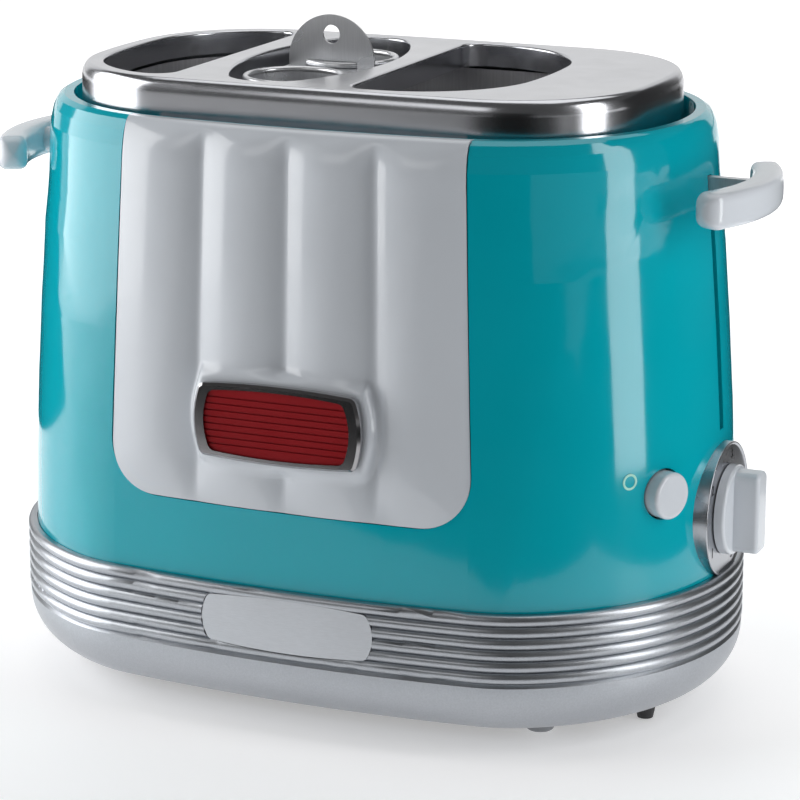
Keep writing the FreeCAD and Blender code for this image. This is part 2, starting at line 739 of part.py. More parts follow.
def panel_region(grow, y1=-20.0):
    """Front view area of the white panel, as a block along Y."""
    low = PANEL_BOTTOM - grow
    high = LIP_Z + 6
    w_low = panel_half_width(low) + grow
    w_high = panel_half_width(high) + grow
    y0 = -BASE_HALF_DEPTH - 12
    corners = [V(-w_low, y0, low), V(w_low, y0, low), V(w_high, y0, high), V(-w_high, y0, high)]
    block = Part.Face(Part.makePolygon(corners + corners[:1])).extrude(V(0, y1 - y0, 0))
    bottom = [e for e in block.Edges
              if e.BoundBox.ZMax < low + 0.01 and e.BoundBox.YLength > 1]
    return block.makeFillet(PANEL_CORNER + grow, bottom)


def relief(z):
    """Share of the ribs' full relief at a height."""
    up = min(max((LIP_Z - z) / PANEL_FADE, 0.0), 1.0)
    down = min(max((z - PANEL_BOTTOM) / PANEL_FADE, 0.0), 1.0)
    foot_share = PANEL_FOOT_SHARE + (1 - PANEL_FOOT_SHARE) * math.sin(math.pi / 2 * down)
    return math.sin(math.pi / 2 * up) * foot_share


def side_arc(width, level, inset, z):
    """Arc across the front, parallel to the housing's face."""
    left = V(-width, front_y(width, level) + inset, z)
    right = V(width, front_y(width, level) + inset, z)
    return Part.Arc(right, V(0, front_y(0, level) + inset, z), left).toShape()


def closed_section(front_edges, back_edge):
    """Wire of a left-to-right front and a right-to-left back, joined at the ends."""
    left_front = front_edges[0].firstVertex(True).Point
    right_front = front_edges[-1].lastVertex(True).Point
    right_back = back_edge.firstVertex(True).Point
    left_back = back_edge.lastVertex(True).Point
    right = Part.LineSegment(right_front, right_back).toShape()
    left = Part.LineSegment(left_back, left_front).toShape()
    return Part.Wire(front_edges + [right, back_edge, left])


def panel_section(z):
    """Plan section of the panel: padded ribs in front, a plain face behind."""
    width = panel_half_width(z)
    level = min(z, LIP_Z)
    share = relief(level)
    step = 2 * width / PANEL_RIBS
    edges = []

    def groove(x):
        depth = PANEL_EDGE_SINK if abs(x) > width - 0.01 else PANEL_GROOVE
        return V(x, front_y(x, level) + depth * share, z)

    for k in range(PANEL_RIBS):
        x0 = -width + k * step
        x1 = x0 + step
        middle = (x0 + x1) / 2
        crest = V(middle, front_y(middle, level) - PANEL_CREST * share - PANEL_PROUD, z)
        edges.append(Part.Arc(groove(x0), crest, groove(x1)).toShape())
    return closed_section(edges, side_arc(width, level, PANEL_SEAT_DEPTH, z))


def panel_levels(top):
    levels = [PANEL_BOTTOM - 3, PANEL_BOTTOM + 5, PANEL_BOTTOM + 11, PANEL_BOTTOM + 18]
    return levels + [z for z in housing_levels(top) if z > PANEL_BOTTOM + 24]


def front_slab(inset0, inset1, grow, top):
    """Slab that follows the housing's front between two insets, as wide as the panel plus grow."""
    wires = []
    for z in panel_levels(top):
        width = panel_half_width(z) + grow
        level = min(z, LIP_Z)
        front = Part.Arc(V(-width, front_y(width, level) + inset0, z), V(0, front_y(0, level) + inset0, z),
                         V(width, front_y(width, level) + inset0, z)).toShape()
        wires.append(closed_section([front], side_arc(width, level, inset1, z)))
    return Part.makeLoft(wires, True, True)


def badge_pad():
    """Smooth raised pad that carries the badge across the ribs."""
    y0 = badge_back()
    y1 = front_y(0, BADGE_Z) + PANEL_SEAT_DEPTH - PANEL_EDGE_SINK
    return barrel(BADGE_HALF_WIDTH, BADGE_HALF_HEIGHT, BADGE_BULGE, BADGE_PAD, 0, BADGE_Z, y0, y1)


def badge_back():
    """Y of the face that the badge lies on."""
    return front_y(0, BADGE_Z) - PANEL_CREST - BADGE_PAD_RISE


def front_panel():
    """White panel with padded ribs, let into the front of the housing."""
    ribs = Part.makeLoft([panel_section(z) for z in panel_levels(LIP_Z)], True, True)
    return ribs.common(panel_region(0.0)).fuse(badge_pad())


def button_axis():
    return V(math.cos(math.radians(BUTTON_ANGLE)), -math.sin(math.radians(BUTTON_ANGLE)), 0)


def button_centre():
    """Middle of the button on the housing's outer face."""
    radius = end_radius(housing_size(BUTTON_Z))
    x = housing_end(BUTTON_Z) - radius + math.sqrt(radius ** 2 - BUTTON_Y ** 2)
    return V(x, BUTTON_Y, BUTTON_Z)


def along_button(diameter, start, finish):
    axis = button_axis()
    return Part.makeCylinder(diameter / 2, finish - start, button_centre() + axis * start, axis)


def body_shell(outer, well):
    """Glossy housing: leaning walls, rolled shoulder and lip, and a sunk well round the steel top."""
    floor_bottom = WELL_FLOOR_TOP - WELL_WALL
    inner = housing_loft(HOUSING_WALL, floor_bottom)
    parts = [outer.cut(inner).cut(well)]
    margin = PANEL_SEAT_MARGIN
    seat = front_slab(HOUSING_WALL - 1.0, PANEL_SEAT_DEPTH + PANEL_SEAT_WALL, margin, floor_bottom)
    parts.append(seat.common(panel_region(margin)))
    for place in tower_places():
        parts.append(screw_lug(place))
    for sy in (-1, 1):
        post = rod_x(BOARD_POST, sy * BOARD_POST_Y, DIAL_Z, DIAL_BOARD_X + BOARD_SHEET, HOUSING_HALF_LENGTH)
        parts.append(post.common(housing_loft(HOUSING_WALL / 2)))
    for sign in (-1, 1):
        parts.append(switch_post(sign))
    shell = parts[0].fuse(parts[1:])
    opening = prism(liner_outline(-LINER_GAP, floor_bottom - 5), WELL_WALL + 20)
    recess = front_slab(-9.0, PANEL_SEAT_DEPTH + PANEL_BED, PANEL_GAP, LIP_Z + 4).common(panel_region(PANEL_GAP))
    half_slot = STEM_THICKNESS / 2 + SLOT_SIDE_CLEARANCE
    cuts = [opening, recess]
    through = HOUSING_HALF_LENGTH + HOUSING_LEAN_LENGTH
    inside = HOUSING_HALF_LENGTH - 2 * HOUSING_LEAN_LENGTH
    cuts.append(box(inside, through, -half_slot, half_slot, SLOT_BOTTOM, SLOT_TOP))
    cuts.append(rod_x(SHAFT_DIAMETER + 2 * SHAFT_GAP, 0, DIAL_Z, inside, through))
    cuts.append(along_button(BUTTON_DIAMETER + 2 * BUTTON_GAP, -BUTTON_TAIL, BUTTON_TAIL))
    cuts.append(rod_x(STUD_DIAMETER + 2 * STUD_GAP, 0, HANDLE_Z, -through, -inside))
    for place in tower_places():
        cuts.append(rod(SCREW_DIAMETER - SCREW_PLAY, place.x, place.y, SEAT_Z - 1, SEAT_Z + SCREW_BITE + 1))
    return shell.cut(cuts)


def screw_lug(place):
    """Lug inside the housing wall that a base screw bites into."""
    sx = math.copysign(1, place.x)
    top = SEAT_Z + LUG_HEIGHT
    block = box(-LUG_WIDTH / 2, LUG_WIDTH / 2, -LUG_DEPTH / 2, LUG_DEPTH / 2, SEAT_Z, top)
    reach = box(0, HOUSING_HALF_LENGTH - TOWER_X, -LUG_WEB / 2, LUG_WEB / 2, SEAT_Z, top)
    lug = fuse([block, reach])
    if sx < 0:
        lug = mirror_x(lug)
    lug = lug.translated(V(place.x, place.y, 0))
    return lug.common(housing_loft(HOUSING_WALL / 2))


def badge_bezel():
    """Bright frame of the badge, thicker at its bowed ends."""
    back = badge_back()
    frame = barrel(BADGE_HALF_WIDTH, BADGE_HALF_HEIGHT, BADGE_BULGE, 0, 0, BADGE_Z, back - BADGE_THICKNESS, back)
    face = [e for e in frame.Edges if e.BoundBox.YMax < back - BADGE_THICKNESS + 0.01]
    frame = frame.makeChamfer(BADGE_CHAMFER, face)
    return frame.cut(badge_field(0.0, back - BADGE_THICKNESS - 1, back + 1))


def badge_field(shrink, y0, y1):
    half_width = BADGE_HALF_WIDTH - BADGE_END_RIM - shrink
    half_height = BADGE_HALF_HEIGHT - BADGE_RIM - shrink
    return barrel(half_width, half_height, BADGE_BULGE, 0, 0, BADGE_Z, y0, y1)


def badge_insert():
    """Red field of the badge with fine level ribs."""
    back = badge_back()
    face = back - BADGE_THICKNESS + BADGE_SINK
    field = badge_field(BADGE_FIELD_GAP, face, back)
    pitch = 2 * (BADGE_HALF_HEIGHT - BADGE_RIM) / BADGE_RIBS
    half = BADGE_LINE / 2
    wide = BADGE_HALF_WIDTH + BADGE_BULGE
    cuts = []
    for k in range(1, BADGE_RIBS):
        z = BADGE_Z - BADGE_HALF_HEIGHT + BADGE_RIM + k * pitch
        cuts.append(box(-wide, wide, face - 1, face + BADGE_LINE_DEPTH, z - half, z + half))
    return field.cut(cuts)


# ---------------------------------------------------------------- steel top


def oval(grow, z, height):
    """Block with the oval plan of the sausage opening."""
    w = OVAL_HALF_WIDTH + grow
    length = OVAL_HALF_LENGTH + grow
    tip = OVAL_TIP + grow
    side = (w ** 2 + (length - tip) ** 2 - tip ** 2) / (2 * (w - tip))
    side_centre = V(AXIS_X + w - side, 0, z)
    tip_centre = V(AXIS_X, length - tip, z)
    to_tip = tip_centre - side_centre
    join = side_centre + to_tip * (side / to_tip.Length)
    right_back = join
    right_front = V(join.x, -join.y, z)
    left_back = V(2 * AXIS_X - join.x, join.y, z)
    left_front = V(2 * AXIS_X - join.x, -join.y, z)
    edges = [Part.Arc(right_front, V(AXIS_X + w, 0, z), right_back).toShape()]
    edges.append(Part.Arc(right_back, V(AXIS_X, length, z), left_back).toShape())
    edges.append(Part.Arc(left_back, V(AXIS_X - w, 0, z), left_front).toShape())
    edges.append(Part.Arc(left_front, V(AXIS_X, -length, z), right_front).toShape())
    return prism(Part.Wire(edges), height)


def bun_slot(side, grow, z, height):
    """Block with the D plan of a bun opening; side is -1 for the left one, 1 for the right one."""
    blank = prism(ring_outline(OPENING_RIM - grow, z), height)
    edge = AXIS_X + side * (OVAL_HALF_WIDTH + STRIP_WIDTH - grow)
    if side > 0:
        blank = blank.translated(V(SLOT_RIGHT_END - RING_HALF_LENGTH + OPENING_RIM, 0, 0))
        rest = box(edge - 2 * RING_HALF_LENGTH, edge, -BASE_HALF_DEPTH, BASE_HALF_DEPTH, z - 1, z + height + 1)
    else:
        rest = box(edge, edge + 2 * RING_HALF_LENGTH, -BASE_HALF_DEPTH, BASE_HALF_DEPTH, z - 1, z + height + 1)
    slot = blank.cut(rest)
    corners = []
    for e in slot.Edges:
        upright = e.BoundBox.XLength < 0.01 and e.BoundBox.YLength < 0.01
        if upright and abs(e.Vertexes[0].Point.x - edge) < 0.01:
            corners.append(e)
    return slot.makeFillet(OPENING_FILLET + grow, corners)


def ring_profile():
    """Section of the cover's rim: a rolled edge, then a near upright side."""
    def at(outset, z):
        return V(0, -RING_HALF_DEPTH - outset, z)

    low = WELL_FLOOR_TOP
    edges = [Part.Arc(at(0, TOP_Z), at(RING_OUTSET * 0.72, TOP_Z - RING_BAND * 0.36),
                      at(RING_OUTSET, TOP_Z - RING_BAND)).toShape()]
    corners = [at(RING_OUTSET, TOP_Z - RING_BAND), at(RING_OUTSET - 0.4, low), at(RING_OUTSET - 0.4 - SHEET, low),
               at(RING_OUTSET - SHEET, TOP_Z - RING_BAND)]
    for a, b in zip(corners, corners[1:]):
        edges.append(Part.LineSegment(a, b).toShape())
    inner_top = at(-SHEET, TOP_Z - SHEET)
    edges.append(Part.Arc(corners[-1], at(RING_OUTSET * 0.72 - SHEET * 0.8, TOP_Z - RING_BAND * 0.36 - SHEET * 0.5),
                          inner_top).toShape())
    edges.append(Part.LineSegment(inner_top, at(-SHEET, TOP_Z)).toShape())
    edges.append(Part.LineSegment(at(-SHEET, TOP_Z), at(0, TOP_Z)).toShape())
    return Part.Wire(edges)


def top_cover():
    """Steel cover: flat top, rolled rim, and three openings with turned-down skirts."""
    rim = swept_ring(ring_profile(), ring_outline())
    plate = prism(ring_outline(SHEET / 2, TOP_Z - SHEET), SHEET)
    low = TOP_Z - SKIRT
    parts = [rim, plate]
    parts.append(oval(SHEET * 0.8, low, SKIRT - SHEET / 2))
    parts.append(bun_slot(-1, SHEET * 0.8, low, SKIRT - SHEET / 2))
    parts.append(bun_slot(1, SHEET * 0.8, low, SKIRT - SHEET / 2))
    cover = fuse(parts)
    cuts = [oval(0, low - 1, SKIRT + 5), bun_slot(-1, 0, low - 1, SKIRT + 5), bun_slot(1, 0, low - 1, SKIRT + 5)]
    return cover.cut(cuts)


# ---------------------------------------------------------------- oven


def liner_outline(inset, z):
    """Outline parallel to the outer face of the oven's sheet."""
    return ring_outline(LINER_INSET + inset, z)


def oven_liner():
    """Bright sheet that wraps the front, the left end and the back of the oven."""
    height = LINER_TOP - LINER_BOTTOM
    wrap = prism(liner_outline(0, LINER_BOTTOM), height)
    wrap = wrap.cut(prism(liner_outline(LINER_SHEET, LINER_BOTTOM - 1), height + 2))
    wrap = wrap.cut(box(END_PLATE_X, LINER_HALF_LENGTH + 1, -LINER_HALF_DEPTH, LINER_HALF_DEPTH,
                        LINER_BOTTOM - 1, LINER_TOP + 1))
    leg_foot = FLOOR_TOP + FLOOR_LIP
    leg_end = box(-LINER_HALF_LENGTH, -LINER_HALF_LENGTH + LINER_SHEET, -LINER_LEG / 2, LINER_LEG / 2,
                  leg_foot, LINER_BOTTOM + 2)
    parts = [wrap, leg_end]
    half = LINER_LEG / 2
    for x in (-LINER_HALF_LENGTH + LINER_LEG_PLACE, END_PLATE_X - LINER_LEG_PLACE):
        y = -LINER_HALF_DEPTH + LINER_SHEET / 2
        parts.append(box(x - half, x + half, y, y + LINER_SHEET, leg_foot, LINER_BOTTOM + 6))
    return fuse(parts)


def end_plate():
    """Upright plate between the oven and the works, with slots for the carriage arms."""
    half = LINER_HALF_DEPTH
    plate = box(END_PLATE_X, END_PLATE_X + LINER_SHEET, -half, half, FLOOR_TOP + FLOOR_LIP, LINER_TOP)
    cuts = []
    gap = ARM_SHEET / 2 + ARM_CLEARANCE
    for sy in (-1, 1):
        cuts.append(box(END_PLATE_X - 1, END_PLATE_X + 2, sy * ARM_Y - gap, sy * ARM_Y + gap,
                        ARM_BOTTOM - TRAVEL - 2, ARM_BOTTOM + ARM_HEIGHT + 2))
    for k in range(LOUVRES):
        y = (k - LOUVRES / 2 + 0.25) * 2 * LOUVRE_WIDTH
        cuts.append(box(END_PLATE_X - 1, END_PLATE_X + 2, y, y + LOUVRE_WIDTH, LOUVRE_LOW, LOUVRE_LOW + LOUVRE_HEIGHT))
    return plate.cut(cuts).common(prism(liner_outline(0.0, 0.0), LINER_TOP))


def divider_rails(x):
    """Two cross rails that hold a heater board and its guard wires."""
    half = LINER_HALF_DEPTH - LINER_SHEET
    rails = []
    for z in (LINER_BOTTOM, RAIL_TOP_Z):
        rail = box(x - RAIL_WIDTH / 2, x + RAIL_WIDTH / 2, -half, half, z, z + RAIL_HEIGHT)
        rails.append(rail.common(prism(liner_outline(LINER_SHEET, z), RAIL_HEIGHT)))
    return group(rails)


def heater_board(x):
    """Mica card that carries a heating ribbon."""
    low = LINER_BOTTOM + RAIL_HEIGHT
    return box(x - MICA / 2, x + MICA / 2, -MICA_HALF_WIDTH, MICA_HALF_WIDTH, low, RAIL_TOP_Z)


def heater_winding(x):
    """Flat resistance ribbon wound round a card."""
    loops = []
    low = LINER_BOTTOM + RAIL_HEIGHT
    pitch = (RAIL_TOP_Z - low - 2 * WINDING_MARGIN) / (WINDINGS - 1)
    t = MICA / 2
    for k in range(WINDINGS):
        z = low + WINDING_MARGIN + k * pitch
        outer = box(x - t - RIBBON_THICKNESS, x + t + RIBBON_THICKNESS, -MICA_HALF_WIDTH - RIBBON_THICKNESS,
                    MICA_HALF_WIDTH + RIBBON_THICKNESS, z - RIBBON_WIDTH / 2, z + RIBBON_WIDTH / 2)
        inner = box(x - t, x + t, -MICA_HALF_WIDTH, MICA_HALF_WIDTH, z - RIBBON_WIDTH, z + RIBBON_WIDTH)
        loops.append(outer.cut(inner))
    return group(loops)


def guard_wires(x):
    """Upright wires each side of a heater that keep food off the ribbon."""
    wires = []
    low = LINER_BOTTOM + RAIL_HEIGHT
    for sx in (-1, 1):
        for k in range(GUARD_WIRES):
            y = (k - (GUARD_WIRES - 1) / 2) * GUARD_PITCH
            wires.append(rod(GUARD_WIRE, x + sx * GUARD_SPREAD, y, low, RAIL_TOP_Z))
    return group(wires)


# ---------------------------------------------------------------- works in the control end


def rod_bracket(upper):
    """Folded shelf on the end plate that holds the guide rods."""
    x0 = END_PLATE_X + LINER_SHEET
    z0 = BRACKET_TOP - BRACKET_SHEET if upper else BRACKET_BOTTOM
    z1 = z0 + BRACKET_SHEET
    shelf = box(x0, x0 + BRACKET_REACH, -SLIDER_HALF_WIDTH, SLIDER_HALF_WIDTH, z0, z1)
    fold_low = z0 if upper else z0 - BRACKET_FOLD
    fold_high = z1 + BRACKET_FOLD if upper else z1
    fold = box(x0, x0 + BRACKET_SHEET, -SLIDER_HALF_WIDTH, SLIDER_HALF_WIDTH, fold_low, fold_high)
    return fuse([shelf, fold])


def guide_rods():
    rods = []
    for sy in (-1, 1):
        rods.append(rod(ROD_DIAMETER, ROD_X, sy * ROD_Y, BRACKET_BOTTOM + BRACKET_SHEET,
                        BRACKET_TOP - BRACKET_SHEET))
    return group(rods)


def carriage_slider():
    """Bracket that rides on the rods and carries the arms and the lever."""
    low = ARM_BOTTOM
    web = box(SLIDER_X, SLIDER_X + BRACKET_SHEET, -SLIDER_HALF_WIDTH, SLIDER_HALF_WIDTH, low, SLIDER_TOP)
    window = box(SLIDER_X - 1, SLIDER_X + 3, -SLIDER_WINDOW / 2, SLIDER_WINDOW / 2,
                 low + BUSH_HEIGHT + 7, SLIDER_TOP - BUSH_HEIGHT - 9)
    beam = box(SLIDER_X, SLIDER_X + BRACKET_SHEET, -ARM_Y - ARM_SHEET / 2, ARM_Y + ARM_SHEET / 2,
               low, low + ARM_HEIGHT)
    parts = [web.cut(window), beam]
    reach = ROD_X + BUSH_DIAMETER / 2 + 2
    for z in (low + BUSH_HEIGHT + 2, SLIDER_TOP - BRACKET_SHEET):
        parts.append(box(SLIDER_X, reach, -SLIDER_HALF_WIDTH, SLIDER_HALF_WIDTH, z, z + BRACKET_SHEET))
    for sy in (-1, 1):
        y = sy * ARM_Y
        parts.append(box(ARM_LEFT_END, SLIDER_X + 0.5, y - ARM_SHEET / 2, y + ARM_SHEET / 2,
                         low, low + ARM_HEIGHT))
    slider = fuse(parts)
    cuts = []
    for sy in (-1, 1):
        cuts.append(rod(ROD_DIAMETER + 3, ROD_X, sy * ROD_Y, low, SLIDER_TOP + 5))
    cuts.append(lever_stem())
    return slider.cut(cuts)


def bush_levels():
    low = ARM_BOTTOM + 2
    return [low, SLIDER_TOP - BRACKET_SHEET - BUSH_HEIGHT]


def carriage_bushes():
    """Plain bushes that run on the guide rods."""
    bushes = []
    for sy in (-1, 1):
        for z in bush_levels():
            sleeve = rod(BUSH_DIAMETER, ROD_X, sy * ROD_Y, z, z + BUSH_HEIGHT)
            bushes.append(sleeve.cut(rod(ROD_DIAMETER + 2 * ROD_FIT, ROD_X, sy * ROD_Y, z - 1, z + BUSH_HEIGHT + 1)))
    return group(bushes)


def lift_spring():
    """Open coil on the back rod that pushes the carriage up."""
    low = BRACKET_BOTTOM + BRACKET_SHEET
    high = bush_levels()[0]
    radius = ROD_DIAMETER / 2 + SPRING_GAP + SPRING_WIRE / 2
    height = high - low - SPRING_WIRE - 2 * SPRING_END_GAP
    helix = Part.makeHelix(height / SPRING_TURNS, height, radius)
    section = Part.Wire([Part.makeCircle(SPRING_WIRE / 2, V(radius, 0, 0), V(0, 1, 0))])
    coil = Part.Wire(helix.Edges).makePipeShell([section], True, True)
    return coil.translated(V(ROD_X, ROD_Y, low + SPRING_WIRE / 2 + SPRING_END_GAP))


def lever_stem():
    """Flat bar from the slider out through the slot to the handle."""
    return box(SLIDER_X + BRACKET_SHEET, HANDLE_REACH, -STEM_THICKNESS / 2, STEM_THICKNESS / 2,
               STEM_BOTTOM, STEM_BOTTOM + STEM_HEIGHT)


def crescent(z):
    """Bowed grip on the right side of the body, its band rounded at both ends."""
    centre = V(HANDLE_REACH - HANDLE_BOW, 0, z - HANDLE_HEIGHT / 2)
    outer = Part.makeCylinder(HANDLE_BOW + HANDLE_WIDTH / 2, HANDLE_HEIGHT, centre)
    inner = Part.makeCylinder(HANDLE_BOW - HANDLE_WIDTH / 2, HANDLE_HEIGHT, centre)
    band = box(HANDLE_REACH - HANDLE_BOW, HANDLE_REACH + HANDLE_WIDTH, -HANDLE_HALF_SPAN, HANDLE_HALF_SPAN,
               z - HANDLE_HEIGHT / 2, z + HANDLE_HEIGHT / 2)
    corners = [e for e in band.Edges if abs(e.tangentAt(e.FirstParameter).x) > 0.99]
    bow = outer.cut(inner).common(band.makeFillet(HANDLE_END_ROUND, corners))
    rim = [e for e in bow.Edges if e.Length > 1]
    return bow.makeFillet(HANDLE_EDGE_ROUND, rim)


def lever_handle():
    return crescent(HANDLE_Z).cut(lever_stem())


def left_handle():
    """Fixed carrying grip that matches the lever, with its stud through the housing."""
    wall = housing_end(HANDLE_Z)
    grip = mirror_x(crescent(HANDLE_Z))
    stud = rod_x(STUD_DIAMETER, 0, HANDLE_Z, -HANDLE_REACH, -wall + HOUSING_WALL)
    collar = rod_x(COLLAR_DIAMETER, 0, HANDLE_Z, -HANDLE_REACH + 2, -wall)
    collar = collar.cut(housing_loft(0.0))
    bore = rod_x(HANDLE_SCREW, 0, HANDLE_Z, -HANDLE_REACH + 3, -wall + HANDLE_WIDTH)
    return fuse([grip, stud, collar]).cut(bore)


def handle_screw():
    wall = housing_end(HANDLE_Z, HOUSING_WALL)
    shank = rod_x(HANDLE_SCREW, 0, HANDLE_Z, -HANDLE_REACH + 3, -wall + 1.4)
    head = rod_x(HANDLE_SCREW_HEAD, 0, HANDLE_Z, -wall + 0.4, -wall + 0.4 + HANDLE_SCREW_HEAD_HEIGHT)
    return fuse([shank, head])


def bun_rack(side):
    """Slotted sheet under a bun, held between the arms."""
    z = ARM_BOTTOM + ARM_HEIGHT - LINER_SHEET
    half = ARM_Y - ARM_SHEET / 2
    to_wires = GUARD_SPREAD + GUARD_WIRE / 2 + RACK_WIRE_GAP
    if side < 0:
        x0 = -LINER_HALF_LENGTH
        x1 = LEFT_BOARD_X - to_wires
        sheet = prism(liner_outline(LINER_SHEET + RACK_GAP, z), LINER_SHEET)
        sheet = sheet.common(box(x0, x1, -half, half, z - 1, z + 3))
        first = x0 + 1.5 * RACK_PITCH
    else:
        x0 = RIGHT_BOARD_X + to_wires
        x1 = END_PLATE_X - RACK_GAP
        sheet = box(x0, x1, -half, half, z, z + LINER_SHEET)
        first = x0 + RACK_PITCH
    cuts = []
    count = int((x1 - RACK_PITCH / 2 - first) / RACK_PITCH) + 1
    for k in range(count):
        x = first + k * RACK_PITCH
        reach = RACK_SLOT_LENGTH
        if side < 0 and k == 0:
            reach = RACK_SLOT_LENGTH / 2
        for sy in (-1, 1):
            middle = sy * (RACK_PITCH + reach) / 2
            cuts.append(box(x - RACK_SLOT / 2, x + RACK_SLOT / 2, middle - reach / 2, middle + reach / 2,
                            z - 1, z + 2))
    return sheet.cut(cuts)


def sausage_platform():
    """Cross strap between the arms that the cage stands on."""
    z = ARM_BOTTOM
    half = ARM_Y - ARM_SHEET / 2
    strap = box(AXIS_X - STRAP_WIDTH / 2, AXIS_X + STRAP_WIDTH / 2, -half, half, z, z + LINER_SHEET)
    parts = [strap]
    cuts = []
    for sy in (-1, 1):
        parts.append(rod(TUBE_DIAMETER - 4, AXIS_X, sy * TUBE_PITCH / 2, z, z + LINER_SHEET))
        cuts.append(rod(PLATFORM_HOLE, AXIS_X, sy * TUBE_PITCH / 2, z - 1, z + 2))
    return fuse(parts).cut(cuts)


def catch_plate():
    """Steel plate that the magnet holds when the carriage is down."""
    x = SLIDER_X + BRACKET_SHEET
    half = CATCH_WIDTH / 2
    return box(x, x + CATCH_LENGTH, -half, half, ARM_BOTTOM, ARM_BOTTOM + CATCH_SHEET)


def magnet_core():
    """Three-legged iron core whose ends meet the catch plate at the bottom of the travel."""
    top = ARM_BOTTOM - TRAVEL - MAGNET_GAP
    x0 = SLIDER_X + BRACKET_SHEET + 1
    x1 = x0 + MAGNET_LENGTH
    low = BRACKET_BOTTOM + BRACKET_SHEET
    half = MAGNET_LEG / 2
    yoke = box(x0, x1, -MAGNET_WIDTH / 2, MAGNET_WIDTH / 2, low, top)
    windows = [box(x0 - 1, x1 + 1, half, half + MAGNET_WINDOW, low + half, top + 1),
               box(x0 - 1, x1 + 1, -half - MAGNET_WINDOW, -half, low + half, top + 1)]
    return yoke.cut(windows)


def magnet_coil():
    """Winding round the middle leg of the core."""
    x0 = SLIDER_X + BRACKET_SHEET + 1
    x1 = x0 + MAGNET_LENGTH
    half = MAGNET_LEG / 2
    low = BRACKET_BOTTOM + BRACKET_SHEET + half
    top = ARM_BOTTOM - TRAVEL - MAGNET_GAP - half / 2
    wide = half + MAGNET_WINDOW - 0.1
    coil = box(x0 - half / 2, x1 + half / 2, -wide, wide, low, top)
    return coil.cut(box(x0, x1, -half, half, low - 1, top + 1))


# ---------------------------------------------------------------- controls


def dial_board():
    w = DIAL_BOARD_HALF_WIDTH
    h = DIAL_BOARD_HALF_HEIGHT
    return box(DIAL_BOARD_X, DIAL_BOARD_X + BOARD_SHEET, -w, w, DIAL_Z - h, DIAL_Z + h)


def timer_pot():
    """Timer control: round can and threaded neck."""
    x0 = DIAL_BOARD_X + BOARD_SHEET
    x1 = x0 + POT_DEPTH
    x2 = x1 + POT_NECK_LENGTH
    can = rod_x(POT_DIAMETER, 0, DIAL_Z, x0, x1)
    neck = rod_x(POT_NECK, 0, DIAL_Z, x1, x2)
    bore = rod_x(SHAFT_DIAMETER + 2 * ROD_FIT, 0, DIAL_Z, x0 + SHAFT_TAIL - 0.4, x2 + 1)
    return fuse([can, neck]).cut(bore)


def dial_shaft():
    tail = DIAL_BOARD_X + BOARD_SHEET + SHAFT_TAIL
    return rod_x(SHAFT_DIAMETER, 0, DIAL_Z, tail, BEZEL_FACE_X + SHAFT_END)


def dial_bezel(outer):
    """Fixed scale ring with a raised rim, shaped to the housing's end."""
    r = BEZEL_DIAMETER / 2
    disc = rod_x(BEZEL_DIAMETER, 0, DIAL_Z, BEZEL_FACE_X - BEZEL_DEPTH, BEZEL_FACE_X + BEZEL_LIP)
    disc = disc.makeFillet(BEZEL_ROUND, [e for e in disc.Edges if e.BoundBox.XMin > BEZEL_FACE_X])
    low_radius = r - BEZEL_RIM - BEZEL_DRAFT
    dish = Part.makeCone(low_radius, r - BEZEL_RIM, BEZEL_LIP + 0.1, V(BEZEL_FACE_X, 0, DIAL_Z), V(1, 0, 0))
    hub = rod_x(SHAFT_DIAMETER + 2 * SHAFT_GAP, 0, DIAL_Z, BEZEL_FACE_X - BEZEL_DEPTH, BEZEL_FACE_X + 1)
    band_top = prism(base_outline(-BEZEL_BAND_GAP, SEAT_Z - RIB_PITCH), BASE_TOP - SEAT_Z + RIB_PITCH)
    return disc.cut([dish, hub, band_top]).cut(outer)


def dial_knob():
    """Round skirt with a thick grip bar across it."""
    x0 = BEZEL_FACE_X + KNOB_GAP
    skirt = rod_x(KNOB_DIAMETER, 0, DIAL_Z, x0, x0 + KNOB_SKIRT)
    skirt = skirt.makeFillet(KNOB_ROUND, [e for e in skirt.Edges if e.BoundBox.XMin > x0 + 1])
    grip = box(x0, GRIP_FACE_X, -GRIP_WIDTH / 2, GRIP_WIDTH / 2, DIAL_Z - GRIP_LENGTH / 2,
               DIAL_Z + GRIP_LENGTH / 2)
    upright = [e for e in grip.Edges if e.BoundBox.XLength > 5]
    grip = grip.makeFillet(GRIP_CORNER, upright)
    rim = [e for e in grip.Edges if e.BoundBox.XMin > GRIP_FACE_X - 0.01]
    grip = grip.makeFillet(GRIP_ROUND, rim)
    return fuse([skirt, grip]).cut(dial_shaft())


def stop_button():
    """Push cap with a shallow crown and a stem to its switch."""
    cap = along_button(BUTTON_DIAMETER, -BUTTON_CAP_DEPTH, BUTTON_RISE)
    centre = button_centre()
    axis = button_axis()
    face = centre + axis * BUTTON_RISE
    cap = cap.makeFillet(BUTTON_ROUND, [e for e in cap.Edges if (e.CenterOfMass - face).Length < 0.5])
    stem = along_button(BUTTON_STEM, -BUTTON_TAIL, -BUTTON_CAP_DEPTH + 1)
    inner = -BUTTON_FLANGE_REACH
    flange = along_button(BUTTON_DIAMETER + 2 * BUTTON_GAP + 1.0, inner, inner + BUTTON_FLANGE_SHEET)
    neck = along_button(BUTTON_DIAMETER - 4, inner + BUTTON_FLANGE_SHEET / 2, -BUTTON_CAP_DEPTH + 1)
    button = fuse([cap, stem, flange, neck])
    return button.cut(along_button(PLUNGER + 0.6, -BUTTON_TAIL - 1, -BUTTON_TAIL + BUTTON_TRAVEL + 0.5))


def switch_reach():
    """Distance along the button's axis from the housing's face to the switch's face."""
    return -BUTTON_TAIL - BUTTON_TRAVEL - SWITCH_GAP


